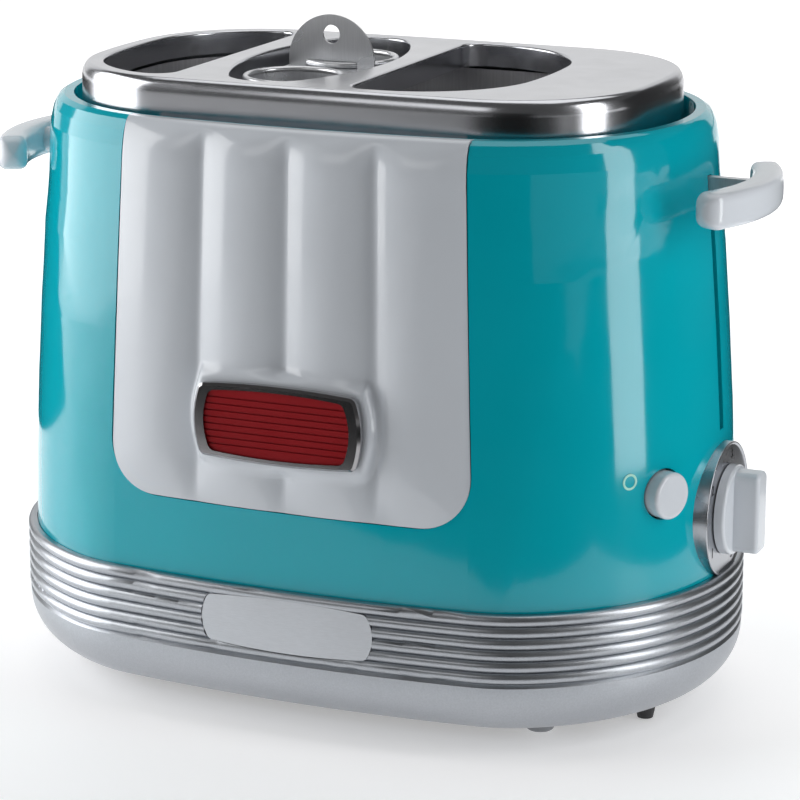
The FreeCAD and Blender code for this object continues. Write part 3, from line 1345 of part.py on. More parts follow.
def stop_switch():
    """Switch with its plunger up inside the button's stem."""
    reach = switch_reach()
    plunger = along_button(PLUNGER, reach - 1, -BUTTON_TAIL)
    return fuse([along_button(SWITCH_DIAMETER, reach - SWITCH_DEPTH, reach), plunger])


def across_button(shape, reach, shift):
    """Turn a shape drawn along X to the button's axis, at a reach and a sideways shift."""
    turned = shape.copy()
    turned.rotate(V(0, 0, 0), V(0, 0, 1), -BUTTON_ANGLE)
    axis = button_axis()
    return turned.translated(button_centre() + axis * reach + V(-axis.y, axis.x, 0) * shift)


def switch_post(sign):
    """Post inside the housing that carries the switch board."""
    post = Part.makeCylinder(SWITCH_POST / 2, 2 * BUTTON_TAIL, V(0, 0, 0), V(1, 0, 0))
    post = across_button(post, switch_reach() - SWITCH_DEPTH, sign * SWITCH_POST_SPREAD)
    return post.common(housing_loft(HOUSING_WALL / 2))


def switch_board():
    half = SWITCH_POST_SPREAD + SWITCH_POST / 2 + 0.5
    height = SWITCH_BOARD_HALF_HEIGHT
    return across_button(box(-BOARD_SHEET, 0, -half, half, -height, height), switch_reach() - SWITCH_DEPTH, 0)


def control_board():
    """Upright board behind the works with its larger components."""
    y = CONTROL_BOARD_Y
    x = END_PLATE_X + 4
    z = FLOOR_TOP + FLOOR_LIP
    return box(x, x + CONTROL_BOARD_WIDTH, y, y + BOARD_SHEET, z, z + CONTROL_BOARD_HEIGHT)


def board_parts():
    """Relay, capacitor, chip and plug on the front of the control board."""
    y = CONTROL_BOARD_Y
    x = END_PLATE_X + 4 + BOARD_MARGIN
    z = FLOOR_TOP + FLOOR_LIP + 2 * BOARD_MARGIN
    capacitor = Part.makeCylinder(CAPACITOR_DIAMETER / 2, CAPACITOR_LENGTH,
                                  V(x + CAPACITOR_DIAMETER / 2, y - CAPACITOR_LENGTH, z + CAPACITOR_DIAMETER / 2),
                                  V(0, 1, 0))
    relay_z = z + CAPACITOR_DIAMETER + 2 * BOARD_MARGIN
    relay = box(x, x + RELAY_WIDTH, y - RELAY_DEPTH, y, relay_z, relay_z + RELAY_HEIGHT)
    chip_z = relay_z + RELAY_HEIGHT + BOARD_MARGIN
    chip = box(x, x + CHIP_WIDTH, y - CHIP_DEPTH, y, chip_z, chip_z + CHIP_HEIGHT)
    plug_x = x + RELAY_WIDTH + BOARD_MARGIN
    plug = box(plug_x, plug_x + PLUG_WIDTH, y - PLUG_DEPTH, y, relay_z, relay_z + PLUG_HEIGHT)
    return group([relay, capacitor, chip, plug])


# ---------------------------------------------------------------- sausage cage


def cage_tube(sy):
    """Round basket for one sausage, with a rolled rim and tall windows."""
    y = sy * TUBE_PITCH / 2
    outer = TUBE_DIAMETER / 2
    tube = rod(TUBE_DIAMETER, AXIS_X, y, TUBE_BOTTOM, CAGE_TOP - TUBE_RIM)
    tube = tube.cut(rod(TUBE_DIAMETER - 2 * TUBE_WALL, AXIS_X, y, TUBE_BOTTOM + TUBE_WALL, CAGE_TOP + 1))
    tube = tube.cut(rod(TUBE_DIAMETER - 2 * TUBE_FLOOR, AXIS_X, y, TUBE_BOTTOM - 1, TUBE_BOTTOM + 2))
    windows = []
    height = (CAGE_TOP - TUBE_BOTTOM - TUBE_FOOT_BAND - TUBE_BELT - TUBE_TOP_BAND) / 2
    for row in range(2):
        z0 = TUBE_BOTTOM + TUBE_FOOT_BAND + row * (height + TUBE_BELT)
        for k in range(TUBE_WINDOWS):
            cutter = box(outer - 6, outer + 3, -TUBE_WINDOW_WIDTH / 2, TUBE_WINDOW_WIDTH / 2, z0, z0 + height)
            cutter.rotate(V(0, 0, 0), V(0, 0, 1), k * 360 / TUBE_WINDOWS)
            windows.append(cutter.translated(V(AXIS_X, y, 0)))
    rim = Part.makeTorus(outer, TUBE_RIM, V(AXIS_X, y, CAGE_TOP - TUBE_RIM))
    return tube.cut(windows).fuse(rim)


def cage_bridge():
    """Plate that joins the two tubes and turns up into the lifting tab."""
    z = CAGE_TOP - 2 * TUBE_RIM - SHEET
    reach = TUBE_PITCH / 2 - TUBE_DIAMETER / 2 + 4
    plate = box(AXIS_X - TAB_RADIUS, AXIS_X + TAB_RADIUS, -reach, reach, z, z + SHEET)
    top = CAGE_TOP + TAB_RISE
    centre_z = top - TAB_RADIUS
    tab = Part.makeCylinder(TAB_RADIUS, SHEET, V(AXIS_X, TAB_Y - SHEET / 2, centre_z), V(0, 1, 0))
    tab = tab.common(box(AXIS_X - TAB_RADIUS, AXIS_X + TAB_RADIUS, 0, TUBE_PITCH, centre_z, top))
    root = box(AXIS_X - TAB_RADIUS, AXIS_X + TAB_RADIUS, TAB_Y - SHEET / 2, TAB_Y + SHEET / 2, z, centre_z)
    hole = Part.makeCylinder(TAB_HOLE / 2, TUBE_PITCH, V(AXIS_X, 0, top - TAB_HOLE_DROP), V(0, 1, 0))
    bridge = fuse([plate, tab, root]).cut(hole)
    cuts = [rod(TUBE_DIAMETER, AXIS_X, sy * TUBE_PITCH / 2, z - 5, z + SHEET + 0.01) for sy in (-1, 1)]
    for sy in (-1, 1):
        cuts.append(rod(TUBE_DIAMETER + 2 * TUBE_RIM + 0.1, AXIS_X, sy * TUBE_PITCH / 2, z + SHEET, CAGE_TOP + 0.2))
    return bridge.cut(cuts)


# ---------------------------------------------------------------- crumb tray


def crumb_tray():
    """Shallow sheet tray under the oven."""
    z = WINDOW_BOTTOM + TRAY_GAP
    high = WINDOW_TOP - TRAY_GAP - TRAY_LOW_WALL
    back = tray_back()
    outer = box(TRAY_LEFT, TRAY_RIGHT, TRAY_FRONT_Y, back, z, high)
    inner = box(TRAY_LEFT + TRAY_SHEET, TRAY_RIGHT - TRAY_SHEET, TRAY_FRONT_Y + TRAY_SHEET,
                back - TRAY_SHEET, z + TRAY_SHEET, high + 1)
    return outer.cut(inner)


def tray_back():
    """Y of the tray's back wall, just inside the curved band."""
    widest = max(abs(TRAY_LEFT), abs(TRAY_RIGHT))
    inset = BASE_RIB_DEPTH + BASE_WALL
    size = (BASE_HALF_LENGTH, BASE_HALF_DEPTH, BASE_SIDE_BOW, BASE_END_BOW, BASE_CORNER_SHARE)
    radius = side_radius(size) - inset
    sagitta = radius - math.sqrt(radius ** 2 - widest ** 2)
    return BASE_HALF_DEPTH - inset - sagitta - TRAY_FRONT_DEPTH


def tray_front(band):
    """Piece of the ribbed band that closes the window and pulls the tray."""
    z0 = WINDOW_BOTTOM + TRAY_GAP
    z1 = WINDOW_TOP - TRAY_GAP
    face = band.common(tray_window(TRAY_GAP))
    face = sorted(face.Solids, key=lambda s: s.Volume)[-1]
    plate = prism(base_outline(BASE_RIB_DEPTH + BASE_WALL / 2, z0), TRAY_FRONT_SHEET)
    plate = plate.common(box(TRAY_LEFT + 2, TRAY_RIGHT - 2, tray_back(), BASE_HALF_DEPTH, z0, z1))
    return fuse([face, plate])


# ---------------------------------------------------------------- assembly


def build():
    outer = housing_loft(0.0)
    well = prism(well_outline(0.0, WELL_FLOOR_TOP), LIP_Z - WELL_FLOOR_TOP + WELL_WALL)
    band = base_band()
    nodes = {
        "base_trim": base_trim(band),
        "name_plaque": name_plaque(),
        "base_floor": base_floor(),
        "cord_gland": cord_gland(),
        "base_screws": base_screws(),
        "feet": feet(),
        "cord_pegs": cord_pegs(),
        "body_shell": body_shell(outer, well),
        "front_panel": front_panel(),
        "badge_bezel": badge_bezel(),
        "badge_insert": badge_insert(),
        "top_cover": top_cover(),
        "oven_liner": oven_liner(),
        "end_plate": end_plate(),
        "divider_rails_left": divider_rails(LEFT_BOARD_X),
        "divider_rails_right": divider_rails(RIGHT_BOARD_X),
        "heater_board_left": heater_board(LEFT_BOARD_X),
        "heater_board_right": heater_board(RIGHT_BOARD_X),
        "heater_winding_left": heater_winding(LEFT_BOARD_X),
        "heater_winding_right": heater_winding(RIGHT_BOARD_X),
        "guard_wires_left": guard_wires(LEFT_BOARD_X),
        "guard_wires_right": guard_wires(RIGHT_BOARD_X),
        "rod_bracket_lower": rod_bracket(False),
        "rod_bracket_upper": rod_bracket(True),
        "guide_rods": guide_rods(),
        "magnet_core": magnet_core(),
        "magnet_coil": magnet_coil(),
        "dial_board": dial_board(),
        "timer_pot": timer_pot(),
        "dial_bezel": dial_bezel(outer),
        "stop_switch": stop_switch(),
        "switch_board": switch_board(),
        "control_board": control_board(),
        "board_parts": board_parts(),
        "left_handle": left_handle(),
        "handle_screw": handle_screw(),
        "carriage_slider": carriage_slider(),
        "carriage_bushes": carriage_bushes(),
        "lift_spring": lift_spring(),
        "lever_stem": lever_stem(),
        "lever_handle": lever_handle(),
        "bun_rack_left": bun_rack(-1),
        "bun_rack_right": bun_rack(1),
        "sausage_platform": sausage_platform(),
        "catch_plate": catch_plate(),
        "cage_tube_front": cage_tube(-1),
        "cage_tube_back": cage_tube(1),
        "cage_bridge": cage_bridge(),
        "crumb_tray": crumb_tray(),
        "tray_front": tray_front(band),
        "dial_knob": dial_knob(),
        "dial_shaft": dial_shaft(),
        "stop_button": stop_button(),
    }
    os.makedirs("parts", exist_ok=True)
    for name, shape in nodes.items():
        shape.exportStep("parts/" + name + ".step")
        print(name, "valid", shape.isValid(), "solids", len(shape.Solids), "volume", round(shape.Volume, 1))


build()
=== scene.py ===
import math

import bmesh
import bpy
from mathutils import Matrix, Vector
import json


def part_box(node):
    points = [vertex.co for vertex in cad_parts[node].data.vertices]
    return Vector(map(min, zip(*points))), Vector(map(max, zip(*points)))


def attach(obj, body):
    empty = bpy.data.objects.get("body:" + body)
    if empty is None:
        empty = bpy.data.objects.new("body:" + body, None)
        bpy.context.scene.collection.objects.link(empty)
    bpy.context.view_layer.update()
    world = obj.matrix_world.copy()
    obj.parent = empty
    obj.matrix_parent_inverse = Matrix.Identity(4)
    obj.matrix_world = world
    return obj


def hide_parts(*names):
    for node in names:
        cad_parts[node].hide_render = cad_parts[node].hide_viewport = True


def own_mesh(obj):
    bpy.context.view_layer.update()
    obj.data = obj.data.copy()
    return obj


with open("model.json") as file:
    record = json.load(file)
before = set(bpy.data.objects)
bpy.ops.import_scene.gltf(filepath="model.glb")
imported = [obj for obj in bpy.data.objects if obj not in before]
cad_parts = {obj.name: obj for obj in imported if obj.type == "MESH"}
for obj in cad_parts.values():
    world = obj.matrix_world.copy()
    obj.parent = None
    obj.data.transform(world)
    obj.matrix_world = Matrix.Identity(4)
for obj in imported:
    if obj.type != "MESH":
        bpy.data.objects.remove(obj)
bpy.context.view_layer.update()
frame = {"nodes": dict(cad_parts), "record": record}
NODES = frame["nodes"]
MM = 0.001  # the geometry below is in millimetres and is scaled once, in piece()


# ---------------------------------------------------------------- materials


def new_material(name):
    """Material with a Principled shader, its node tree and that shader."""
    mat = bpy.data.materials.new(name)
    mat.use_nodes = True
    tree = mat.node_tree
    return mat, tree, tree.nodes["Principled BSDF"]


def link(tree, a, b):
    """Link from an output to an input."""
    tree.links.new(a, b)


def coords(tree, scale=(1, 1, 1)):
    """Object coordinates, stretched by a scale."""
    tex = tree.nodes.new("ShaderNodeTexCoord")
    mapping = tree.nodes.new("ShaderNodeMapping")
    mapping.inputs["Scale"].default_value = scale
    link(tree, tex.outputs["Object"], mapping.inputs["Vector"])
    return mapping.outputs["Vector"]


def noise(tree, vector, scale, detail=4.0, rough=0.5):
    """Noise value over a vector."""
    node = tree.nodes.new("ShaderNodeTexNoise")
    node.inputs["Scale"].default_value = scale
    node.inputs["Detail"].default_value = detail
    node.inputs["Roughness"].default_value = rough
    link(tree, vector, node.inputs["Vector"])
    return node.outputs["Fac"]


def ramp(tree, value, low, high, a, b):
    """Colour ramp between two colours over part of a value's range."""
    node = tree.nodes.new("ShaderNodeValToRGB")
    node.color_ramp.elements[0].position = low
    node.color_ramp.elements[0].color = a
    node.color_ramp.elements[1].position = high
    node.color_ramp.elements[1].color = b
    link(tree, value, node.inputs["Fac"])
    return node.outputs["Color"]


def spread(tree, value, low, high, to_low, to_high):
    """A value's range mapped to another range, clamped."""
    node = tree.nodes.new("ShaderNodeMapRange")
    node.inputs["From Min"].default_value = low
    node.inputs["From Max"].default_value = high
    node.inputs["To Min"].default_value = to_low
    node.inputs["To Max"].default_value = to_high
    link(tree, value, node.inputs["Value"])
    return node.outputs["Result"]


def bump(tree, shader, height, strength, distance):
    """Bump from a height to a shader's normal."""
    node = tree.nodes.new("ShaderNodeBump")
    node.inputs["Strength"].default_value = strength
    node.inputs["Distance"].default_value = distance
    link(tree, height, node.inputs["Height"])
    link(tree, node.outputs["Normal"], shader.inputs["Normal"])


def shade(colour, factor):
    """Colour times a factor, with alpha."""
    return tuple(c * factor for c in colour[:3]) + (1.0,)


def plastic(name, colour, rough, vary=0.04, grain=900.0, depth=0.00002, coat=0.0, peel=0.3, shine=0.5):
    """Moulded plastic: faint shade variation, uneven gloss and a fine skin."""
    mat, tree, shader = new_material(name)
    vec = coords(tree)
    big = noise(tree, vec, 14.0, 3.0)
    small = noise(tree, vec, grain, 2.0)
    tint = ramp(tree, big, 0.3, 0.7, shade(colour, 1 - vary), shade(colour, 1 + vary))
    link(tree, tint, shader.inputs["Base Color"])
    gloss = spread(tree, noise(tree, vec, 55.0, 5.0), 0.3, 0.7, rough * 0.8, rough * 1.25)
    link(tree, gloss, shader.inputs["Roughness"])
    bump(tree, shader, small, peel, depth)
    shader.inputs["Specular IOR Level"].default_value = shine
    shader.inputs["Coat Weight"].default_value = coat
    shader.inputs["Coat Roughness"].default_value = 0.04
    return mat


def metal(name, colour, rough, stretch=(1, 1, 1), scale=600.0, strength=0.25, depth=0.00001, vary=0.12,
          weight=1.0):
    """Metal with a drawn or brushed grain along the short directions of a stretch."""
    mat, tree, shader = new_material(name)
    vec = coords(tree, stretch)
    grain = noise(tree, vec, scale, 3.0, 0.6)
    cloud = noise(tree, coords(tree), 22.0, 4.0)
    shader.inputs["Metallic"].default_value = weight
    tint = ramp(tree, grain, 0.25, 0.75, shade(colour, 1 - vary), shade(colour, 1 + vary))
    link(tree, tint, shader.inputs["Base Color"])
    link(tree, spread(tree, cloud, 0.3, 0.7, rough * 0.85, rough * 1.2), shader.inputs["Roughness"])
    bump(tree, shader, grain, strength, depth)
    return mat


GLOSSY = dict(vary=0.03, depth=0.000006, peel=0.2)
RUBBERY = dict(grain=2500.0, depth=0.00004)
UPRIGHT = (1, 1, 0.05)
MATS = {
    "housing_plastic": plastic("teal_gloss_plastic", (0.0, 0.375, 0.46), 0.09, coat=0.2, **GLOSSY),
    "white_plastic": plastic("white_gloss_plastic", (0.63, 0.665, 0.71), 0.2, coat=0.3, **GLOSSY),
    "base_satin": metal("satin_silver", (0.45, 0.47, 0.50), 0.34, scale=1500.0, strength=0.3, depth=0.000015,
                        vary=0.08),
    "plaque_silver": metal("plaque_silver", (0.55, 0.57, 0.60), 0.3, (1, 8, 8), 300.0, vary=0.05),
    "top_steel": metal("top_steel", (0.60, 0.61, 0.64), 0.21, (0.02, 0.02, 1.0), 3000.0, vary=0.06),
    "badge_chrome": metal("badge_gunmetal", (0.42, 0.41, 0.42), 0.14, (0.1, 1, 1), 1200.0, vary=0.06),
    "badge_red": plastic("badge_red", (0.24, 0.0005, 0.004), 0.4, vary=0.1, shine=0.2),
    "inner_steel": metal("inner_steel", (0.66, 0.66, 0.68), 0.4, UPRIGHT, 900.0, weight=0.8),
    "cage_steel": metal("cage_steel", (0.74, 0.75, 0.77), 0.28, UPRIGHT, 1400.0, vary=0.06, weight=0.8),
    "chassis_plastic": plastic("chassis_plastic", (0.018, 0.018, 0.02), 0.5, vary=0.2, **RUBBERY),
    "bush_plastic": plastic("bush_plastic", (0.45, 0.42, 0.36), 0.45),
    "foot_rubber": plastic("foot_rubber", (0.3, 0.31, 0.33), 0.5, vary=0.15, **RUBBERY),
    "mica": plastic("mica", (0.42, 0.33, 0.22), 0.35, vary=0.25, grain=200.0),
    "ribbon": metal("ribbon", (0.30, 0.26, 0.23), 0.35, vary=0.3),
    "board_green": plastic("board_green", (0.02, 0.13, 0.05), 0.35, vary=0.1),
    "component_black": plastic("component_black", (0.02, 0.02, 0.022), 0.4, vary=0.15),
    "coil_tape": plastic("coil_tape", (0.45, 0.30, 0.06), 0.4, vary=0.1),
    "dial_silver": metal("dial_silver", (0.50, 0.51, 0.54), 0.28, (1, 1, 1), 1500.0, vary=0.05),
    "tray_steel": metal("tray_steel", (0.48, 0.48, 0.49), 0.3, (1, 0.05, 1), 700.0),
    "screw_steel": metal("screw_steel", (0.45, 0.45, 0.46), 0.3, scale=1500.0),
}
SLOTS = {entry["node"]: entry["material_slot"] for entry in frame["record"]["subparts"]}
for node_name, node in NODES.items():
    node.data.materials.clear()
    node.data.materials.append(MATS[SLOTS[node_name]])


# ---------------------------------------------------------------- plan outlines, in millimetres

# An outline is four bowed sides with round corners: half length, half depth, bow of the long sides,
# bow of the ends, and the corner's radius as a share of the ends' radius.
WELL = (121.7, 76.9, 6.5, 42.18, 0.8625)
RING = (110.4, 65.6, 2.04, 9.49, 0.225)

# Heights: foot of the housing, start of its round shoulder, its lip, the steel top and the well's floor.
SEAT_Z, SHOULDER_Z, LIP_Z, TOP_Z, WELL_FLOOR = 55.5, 208.0, 227.0, 240.0, 215.4
SHOULDER_IN = 6.0


def bow_radius(half_chord, bow):
    """Radius of the arc over a chord."""
    return (half_chord ** 2 + bow ** 2) / (2 * bow)


def arcs(size):
    """Centre, radius and angle range of the three arcs of an outline's front right quarter."""
    length, depth, side_bow, end_bow, share = size
    side = bow_radius(length - end_bow, side_bow)
    end = bow_radius(depth - side_bow, end_bow)
    corner = end * share
    side_c = Vector((0, side - depth))
    end_c = Vector((length - end, 0))
    between = end_c - side_c
    along = ((side - corner) ** 2 - (end - corner) ** 2 + between.length_squared) / (2 * between.length)
    unit = between.normalized()
    across = Vector((unit.y, -unit.x)) * math.sqrt((side - corner) ** 2 - along ** 2)
    corner_c = side_c + unit * along + across
    if corner_c.x < 0 or corner_c.y > 0:
        corner_c = side_c + unit * along - across
    first = math.atan2(corner_c.y - side_c.y, corner_c.x - side_c.x)
    second = math.atan2(corner_c.y - end_c.y, corner_c.x - end_c.x)
    return ((side_c, side, -math.pi / 2, first), (corner_c, corner, first, second), (end_c, end, second, 0.0))


def quarter(size, inset, count):
    """Front right quarter of an outline as (x, y, normal x, normal y)."""
    points = []
    for (centre, radius, start, finish), steps in zip(arcs(size), count):
        for k in range(steps):
            angle = start + (finish - start) * k / steps
            n = Vector((math.cos(angle), math.sin(angle)))
            points.append((*(centre + n * (radius - inset)), n.x, n.y))
    points.append((size[0] - inset, 0.0, 1.0, 0.0))
    return points


def outline(size, inset=0.0, count=(16, 20, 12)):
    """Whole outline, anticlockwise from the middle of the front."""
    q = quarter(size, inset, count)
    half = q + [(x, -y, nx, -ny) for x, y, nx, ny in reversed(q[:-1])]
    return half + [(-x, y, -nx, ny) for x, y, nx, ny in reversed(half[1:-1])]


def at(size, inset, z):
    """Outline as points at a height."""
    return [(x, y, z) for x, y, _, _ in outline(size, inset)]


def housing_size(z):
    """Outline of the housing's outer face at a height."""
    rise = min(max(z - SEAT_Z, 0.0), SHOULDER_Z - SEAT_Z) / (SHOULDER_Z - SEAT_Z)
    lean = rise ** 1.5

    def mix(low, high):
        return low + (high - low) * rise

    return (141.0 - 9.6 * lean, 91.1 - 4.5 * lean, mix(5.42, 7.07), mix(60.54, 47.87), mix(0.6436, 0.878))


def front_y(x, size, inset):
    """Y of an outline's front side at an X."""
    length, depth, side_bow, end_bow, _ = size
    side = bow_radius(length - end_bow, side_bow) - inset
    return inset - depth + side - math.sqrt(side ** 2 - x ** 2)


# ---------------------------------------------------------------- mesh helpers


def strips(rows, wrap_rows=False, wrap_points=True):
    """Vertices and quads of a grid of rows."""
    verts = [p for row in rows for p in row]
    width = len(rows[0])
    faces = []
    for r in range(len(rows) if wrap_rows else len(rows) - 1):
        s = (r + 1) % len(rows)
        for k in range(width if wrap_points else width - 1):
            m = (k + 1) % width
            faces.append((r * width + k, r * width + m, s * width + m, s * width + k))
    return verts, faces


def piece(name, verts, faces, body, slot, instead=(), sharp=32.0, flip=False, material=None):
    """Smooth shaded mesh object that rides on a body."""
    mesh = bpy.data.meshes.new(name)
    mesh.from_pydata([Vector(v) * MM for v in verts], [], faces)
    if flip:
        mesh.flip_normals()
    obj = bpy.data.objects.new(name, mesh)
    bpy.context.scene.collection.objects.link(obj)
    mesh.materials.append(material or MATS[slot])
    finish_mesh(obj, sharp)
    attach(obj, body)
    if instead:
        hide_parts(*instead)
    return obj


def finish_mesh(obj, sharp):
    """Smooth shading, with sharp edges above an angle in degrees."""
    mesh = obj.data
    mesh.update()
    for poly in mesh.polygons:
        poly.use_smooth = True
    mesh.set_sharp_from_angle(angle=math.radians(sharp))


def outward(obj):
    """Turns a closed piece's faces outward."""
    bm = bmesh.new()
    bm.from_mesh(obj.data)
    bmesh.ops.recalc_face_normals(bm, faces=bm.faces)
    bm.to_mesh(obj.data)
    bm.free()


def weigh(obj):
    """Normals that follow the large faces next to cuts and rounded edges."""
    mod = obj.modifiers.new("weighted", "WEIGHTED_NORMAL")
    mod.keep_sharp = True
    mod.weight = 60


def settle(obj, sharp):
    """Applies an object's modifiers to its mesh."""
    graph = bpy.context.evaluated_depsgraph_get()
    mesh = bpy.data.meshes.new_from_object(obj.evaluated_get(graph))
    old = obj.data
    obj.modifiers.clear()
    obj.data = mesh
    bpy.data.meshes.remove(old)
    finish_mesh(obj, sharp)


def arc(count):
    """Sines and cosines over a quarter turn."""
    angles = [math.radians(90.0 * k / count) for k in range(count + 1)]
    return [(math.sin(angle), math.cos(angle)) for angle in angles]


# ---------------------------------------------------------------- housing

SKIN_MISS = 0.3  # how far from the formula a point still counts as on the skin
SKIN_AGREE = 0.9  # least cosine between a facet and the exact normal


def off_outline(x, y, size):
    """Distance outside an outline, and the outline's normal there."""
    spot = Vector((abs(x), -abs(y)))
    best = None
    for centre, radius, start, finish in arcs(size):
        away = spot - centre
        angle = math.atan2(away.y, away.x)
        miss = max(start - angle, angle - finish, 0.0)
        if best is None or miss < best[0]:
            best = (miss, away.length - radius, away.normalized())
    _, off, n = best
    return off, Vector((math.copysign(n.x, x), math.copysign(n.y, y)))


def skin_normal(p):
    """Normal of the housing's outer face at a point, or None away from that face."""
    x, y, z = p
    if z > LIP_Z - 0.01 or z < SEAT_Z - 0.1:
        return None
    size = housing_size(z)
    off, n = off_outline(x, y, size)
    if z > SHOULDER_Z:
        s = (z - SHOULDER_Z) / (LIP_Z - SHOULDER_Z)
        c = math.sqrt(1 - s * s)
        if abs(off + SHOULDER_IN * (1 - c)) > SKIN_MISS:
            return None
        return Vector((n.x * c / SHOULDER_IN, n.y * c / SHOULDER_IN, s / (LIP_Z - SHOULDER_Z))).normalized()
    if abs(off) > SKIN_MISS:
        return None
    step = 2.0
    low, high = max(z - step, SEAT_Z), min(z + step, SHOULDER_Z)
    change = off_outline(x, y, housing_size(high))[0] - off_outline(x, y, housing_size(low))[0]
    rate = change / (high - low)
    return Vector((n.x, n.y, rate)).normalized()


def housing():
    """Housing from the frame's mesh, with exact normals on its outer face."""
    source = NODES["body_shell"]
    verts = [source.matrix_world @ v.co / MM for v in source.data.vertices]
    faces = [tuple(poly.vertices) for poly in source.data.polygons]
    obj = piece("housing_shell", verts, faces, "housing", "housing_plastic", ("body_shell",), sharp=24)
    mesh = obj.data
    exact = [skin_normal(v) for v in verts]
    normals = [Vector((0, 0, 0))] * len(mesh.loops)
    for poly in mesh.polygons:
        for k in poly.loop_indices:
            n = exact[mesh.loops[k].vertex_index]
            if n is not None and n.dot(poly.normal) > SKIN_AGREE:
                normals[k] = n
    mesh.normals_split_custom_set(normals)


# ---------------------------------------------------------------- front panel

PANEL_FOOT, PANEL_CORNER = 86.0, 20.0
PANEL_EDGE = 0.05  # height over the housing along the panel's edge
PANEL_TURN_ROWS = 7  # last rows, which go over the lip into the well
RIBS, RIB_CREST, RIB_GROOVE, RIB_SIDE = 4, 1.8, -2.1, -0.4
BADGE_Z, BADGE_PAD = 120.0, 2.85


def panel_width(z):
    """Half width of the panel, wider toward its foot."""
    return 68.0 + 5.5 * (LIP_Z - z) / (LIP_Z - PANEL_FOOT)


def panel_rows(columns, trim):
    """Rows of points on the housing's face over the panel's area, from its foot to the well."""
    low, corner = PANEL_FOOT + trim, PANEL_CORNER - trim
    # Each spot is a height, the inset from the housing's face, what the width loses, and the share of the way
    # across the lip to the well.
    spots = []
    for s, c in arc(16)[:-1]:
        spots.append((low + corner * (1 - c), 0.0, corner * (1 - s), 0.0))
    for k in range(66):
        spots.append((low + corner + (SHOULDER_Z - low - corner) * k / 66, 0.0, 0.0, 0.0))
    for s, c in arc(20):
        spots.append((SHOULDER_Z + (LIP_Z - SHOULDER_Z) * s, SHOULDER_IN * (1 - c), 0.0, 0.0))
    for k in range(1, 4):
        spots.append((LIP_Z, SHOULDER_IN, 0.0, k / 4))
    for s, c in arc(4):
        spots.append((LIP_Z - 0.9 * (1 - c), SHOULDER_IN, 0.0, 1.0 - (1 - s) * 0.22))
    spots.append((LIP_Z - 3.5, SHOULDER_IN, 0.0, 1.0))
    rows = []
    for z, inset, narrow, over in spots:
        width = panel_width(z) - trim - narrow
        row = []
        for k in range(columns + 1):
            x = width * (2 * k / columns - 1)
            outer = front_y(x, housing_size(z), inset)
            row.append(Vector((x, outer + (front_y(x, WELL, 0.0) - outer) * over, z)))
        rows.append(row)
    return rows


def barrel_distance(x, z, half_width, half_height, bulge):
    """Rough distance outside a plate whose four sides bow outward."""
    dx = abs(x) - half_width - bulge * (1 - (z / half_height) ** 2)
    dz = abs(z) - half_height - bulge * 0.6 * (1 - (x / half_width) ** 2)
    return max(dx, dz)


def smooth_step(value, low, high):
    """0 to 1 over a range, with no kink at its ends."""
    t = min(max((value - low) / (high - low), 0.0), 1.0)
    return t * t * (3 - 2 * t)


def rib_height(x, z):
    """Height of the panel's face over the housing's."""
    place = (x / panel_width(z) + 1) * RIBS / 2
    rib = min(max(int(place), 0), RIBS - 1)
    t = place - rib
    left = RIB_SIDE if rib == 0 else RIB_GROOVE
    right = RIB_SIDE if rib == RIBS - 1 else RIB_GROOVE
    valley = left + (right - left) * t
    bow = 1 - (2 * t - 1) ** 2
    soft = 0.3 * max(0.0, 1 - min(t, 1 - t) / 0.035) ** 2 if valley < -1.4 else 0.0
    height = valley + (RIB_CREST - valley) * bow + soft
    # The ribs fade out under the lip and toward the foot.
    up = min(max((225.0 - z) / 10.0, 0.0), 1.0)
    down = min(max((z - PANEL_FOOT) / 20.0, 0.0), 1.0)
    share = math.sin(math.pi / 2 * up) * (0.1 + 0.9 * math.sin(math.pi / 2 * down))
    height = height * share + PANEL_EDGE
    off = barrel_distance(x, z - BADGE_Z, 31.0, 13.6, 2.6)
    pad = 1 - smooth_step(off, 1.2, 5.2)
    return height + (BADGE_PAD - height) * pad


def front_panel():
    """Panel with four ribs and a raised pad round the badge, laid over the housing's face."""
    rows = panel_rows(168, 0.3)
    count = len(rows[0])
    lifted = []
    for r, row in enumerate(rows):
        below, above = rows[max(r - 1, 0)], rows[min(r + 1, len(rows) - 1)]
        out = []
        for k, p in enumerate(row):
            across = row[min(k + 1, count - 1)] - row[max(k - 1, 0)]
            along = above[k] - below[k]
            n = across.cross(along).normalized()
            out.append(p + n * (rib_height(p.x, p.z) if r < len(rows) - PANEL_TURN_ROWS else PANEL_EDGE))
        lifted.append(out)
    verts, faces = strips(lifted, wrap_points=False)
    obj = piece("front_panel_ribs", verts, faces, "housing", "white_plastic", ("front_panel",), sharp=60)
    solid = obj.modifiers.new("solid", "SOLIDIFY")
    solid.thickness = 2.9 * MM
    solid.offset = -1.0
    bevel = obj.modifiers.new("round", "BEVEL")
    bevel.width = 0.55 * MM
    bevel.segments = 3
    bevel.limit_method = "ANGLE"
    bevel.angle_limit = math.radians(65)
    settle(obj, 70)
    weigh(obj)


def rod_rows(centre, axis, spots, count):
    """Rings round an axis, one for each (reach, radius)."""
    axis = Vector(axis).normalized()
    up = Vector((0, 0, 1))
    side = axis.cross(up).normalized()
    rows = []
    for reach, radius in spots:
        row = []
        for k in range(count):
            angle = 2 * math.pi * k / count
            spoke = up * math.sin(angle) + side * math.cos(angle)
            row.append(Vector(centre) + axis * reach + spoke * radius)
        rows.append(row)
    return rows


def face_point(y, z):
    """Point of the housing's right end at a Y and a height."""
    near = quarter(housing_size(z), 0.0, (60, 120, 120))
    for a, b in zip(near, near[1:]):
        if a[1] <= y <= b[1]:
            t = (y - a[1]) / (b[1] - a[1])
            return Vector((a[0] + (b[0] - a[0]) * t, y, z))
    return Vector((near[-1][0], 0.0, z))


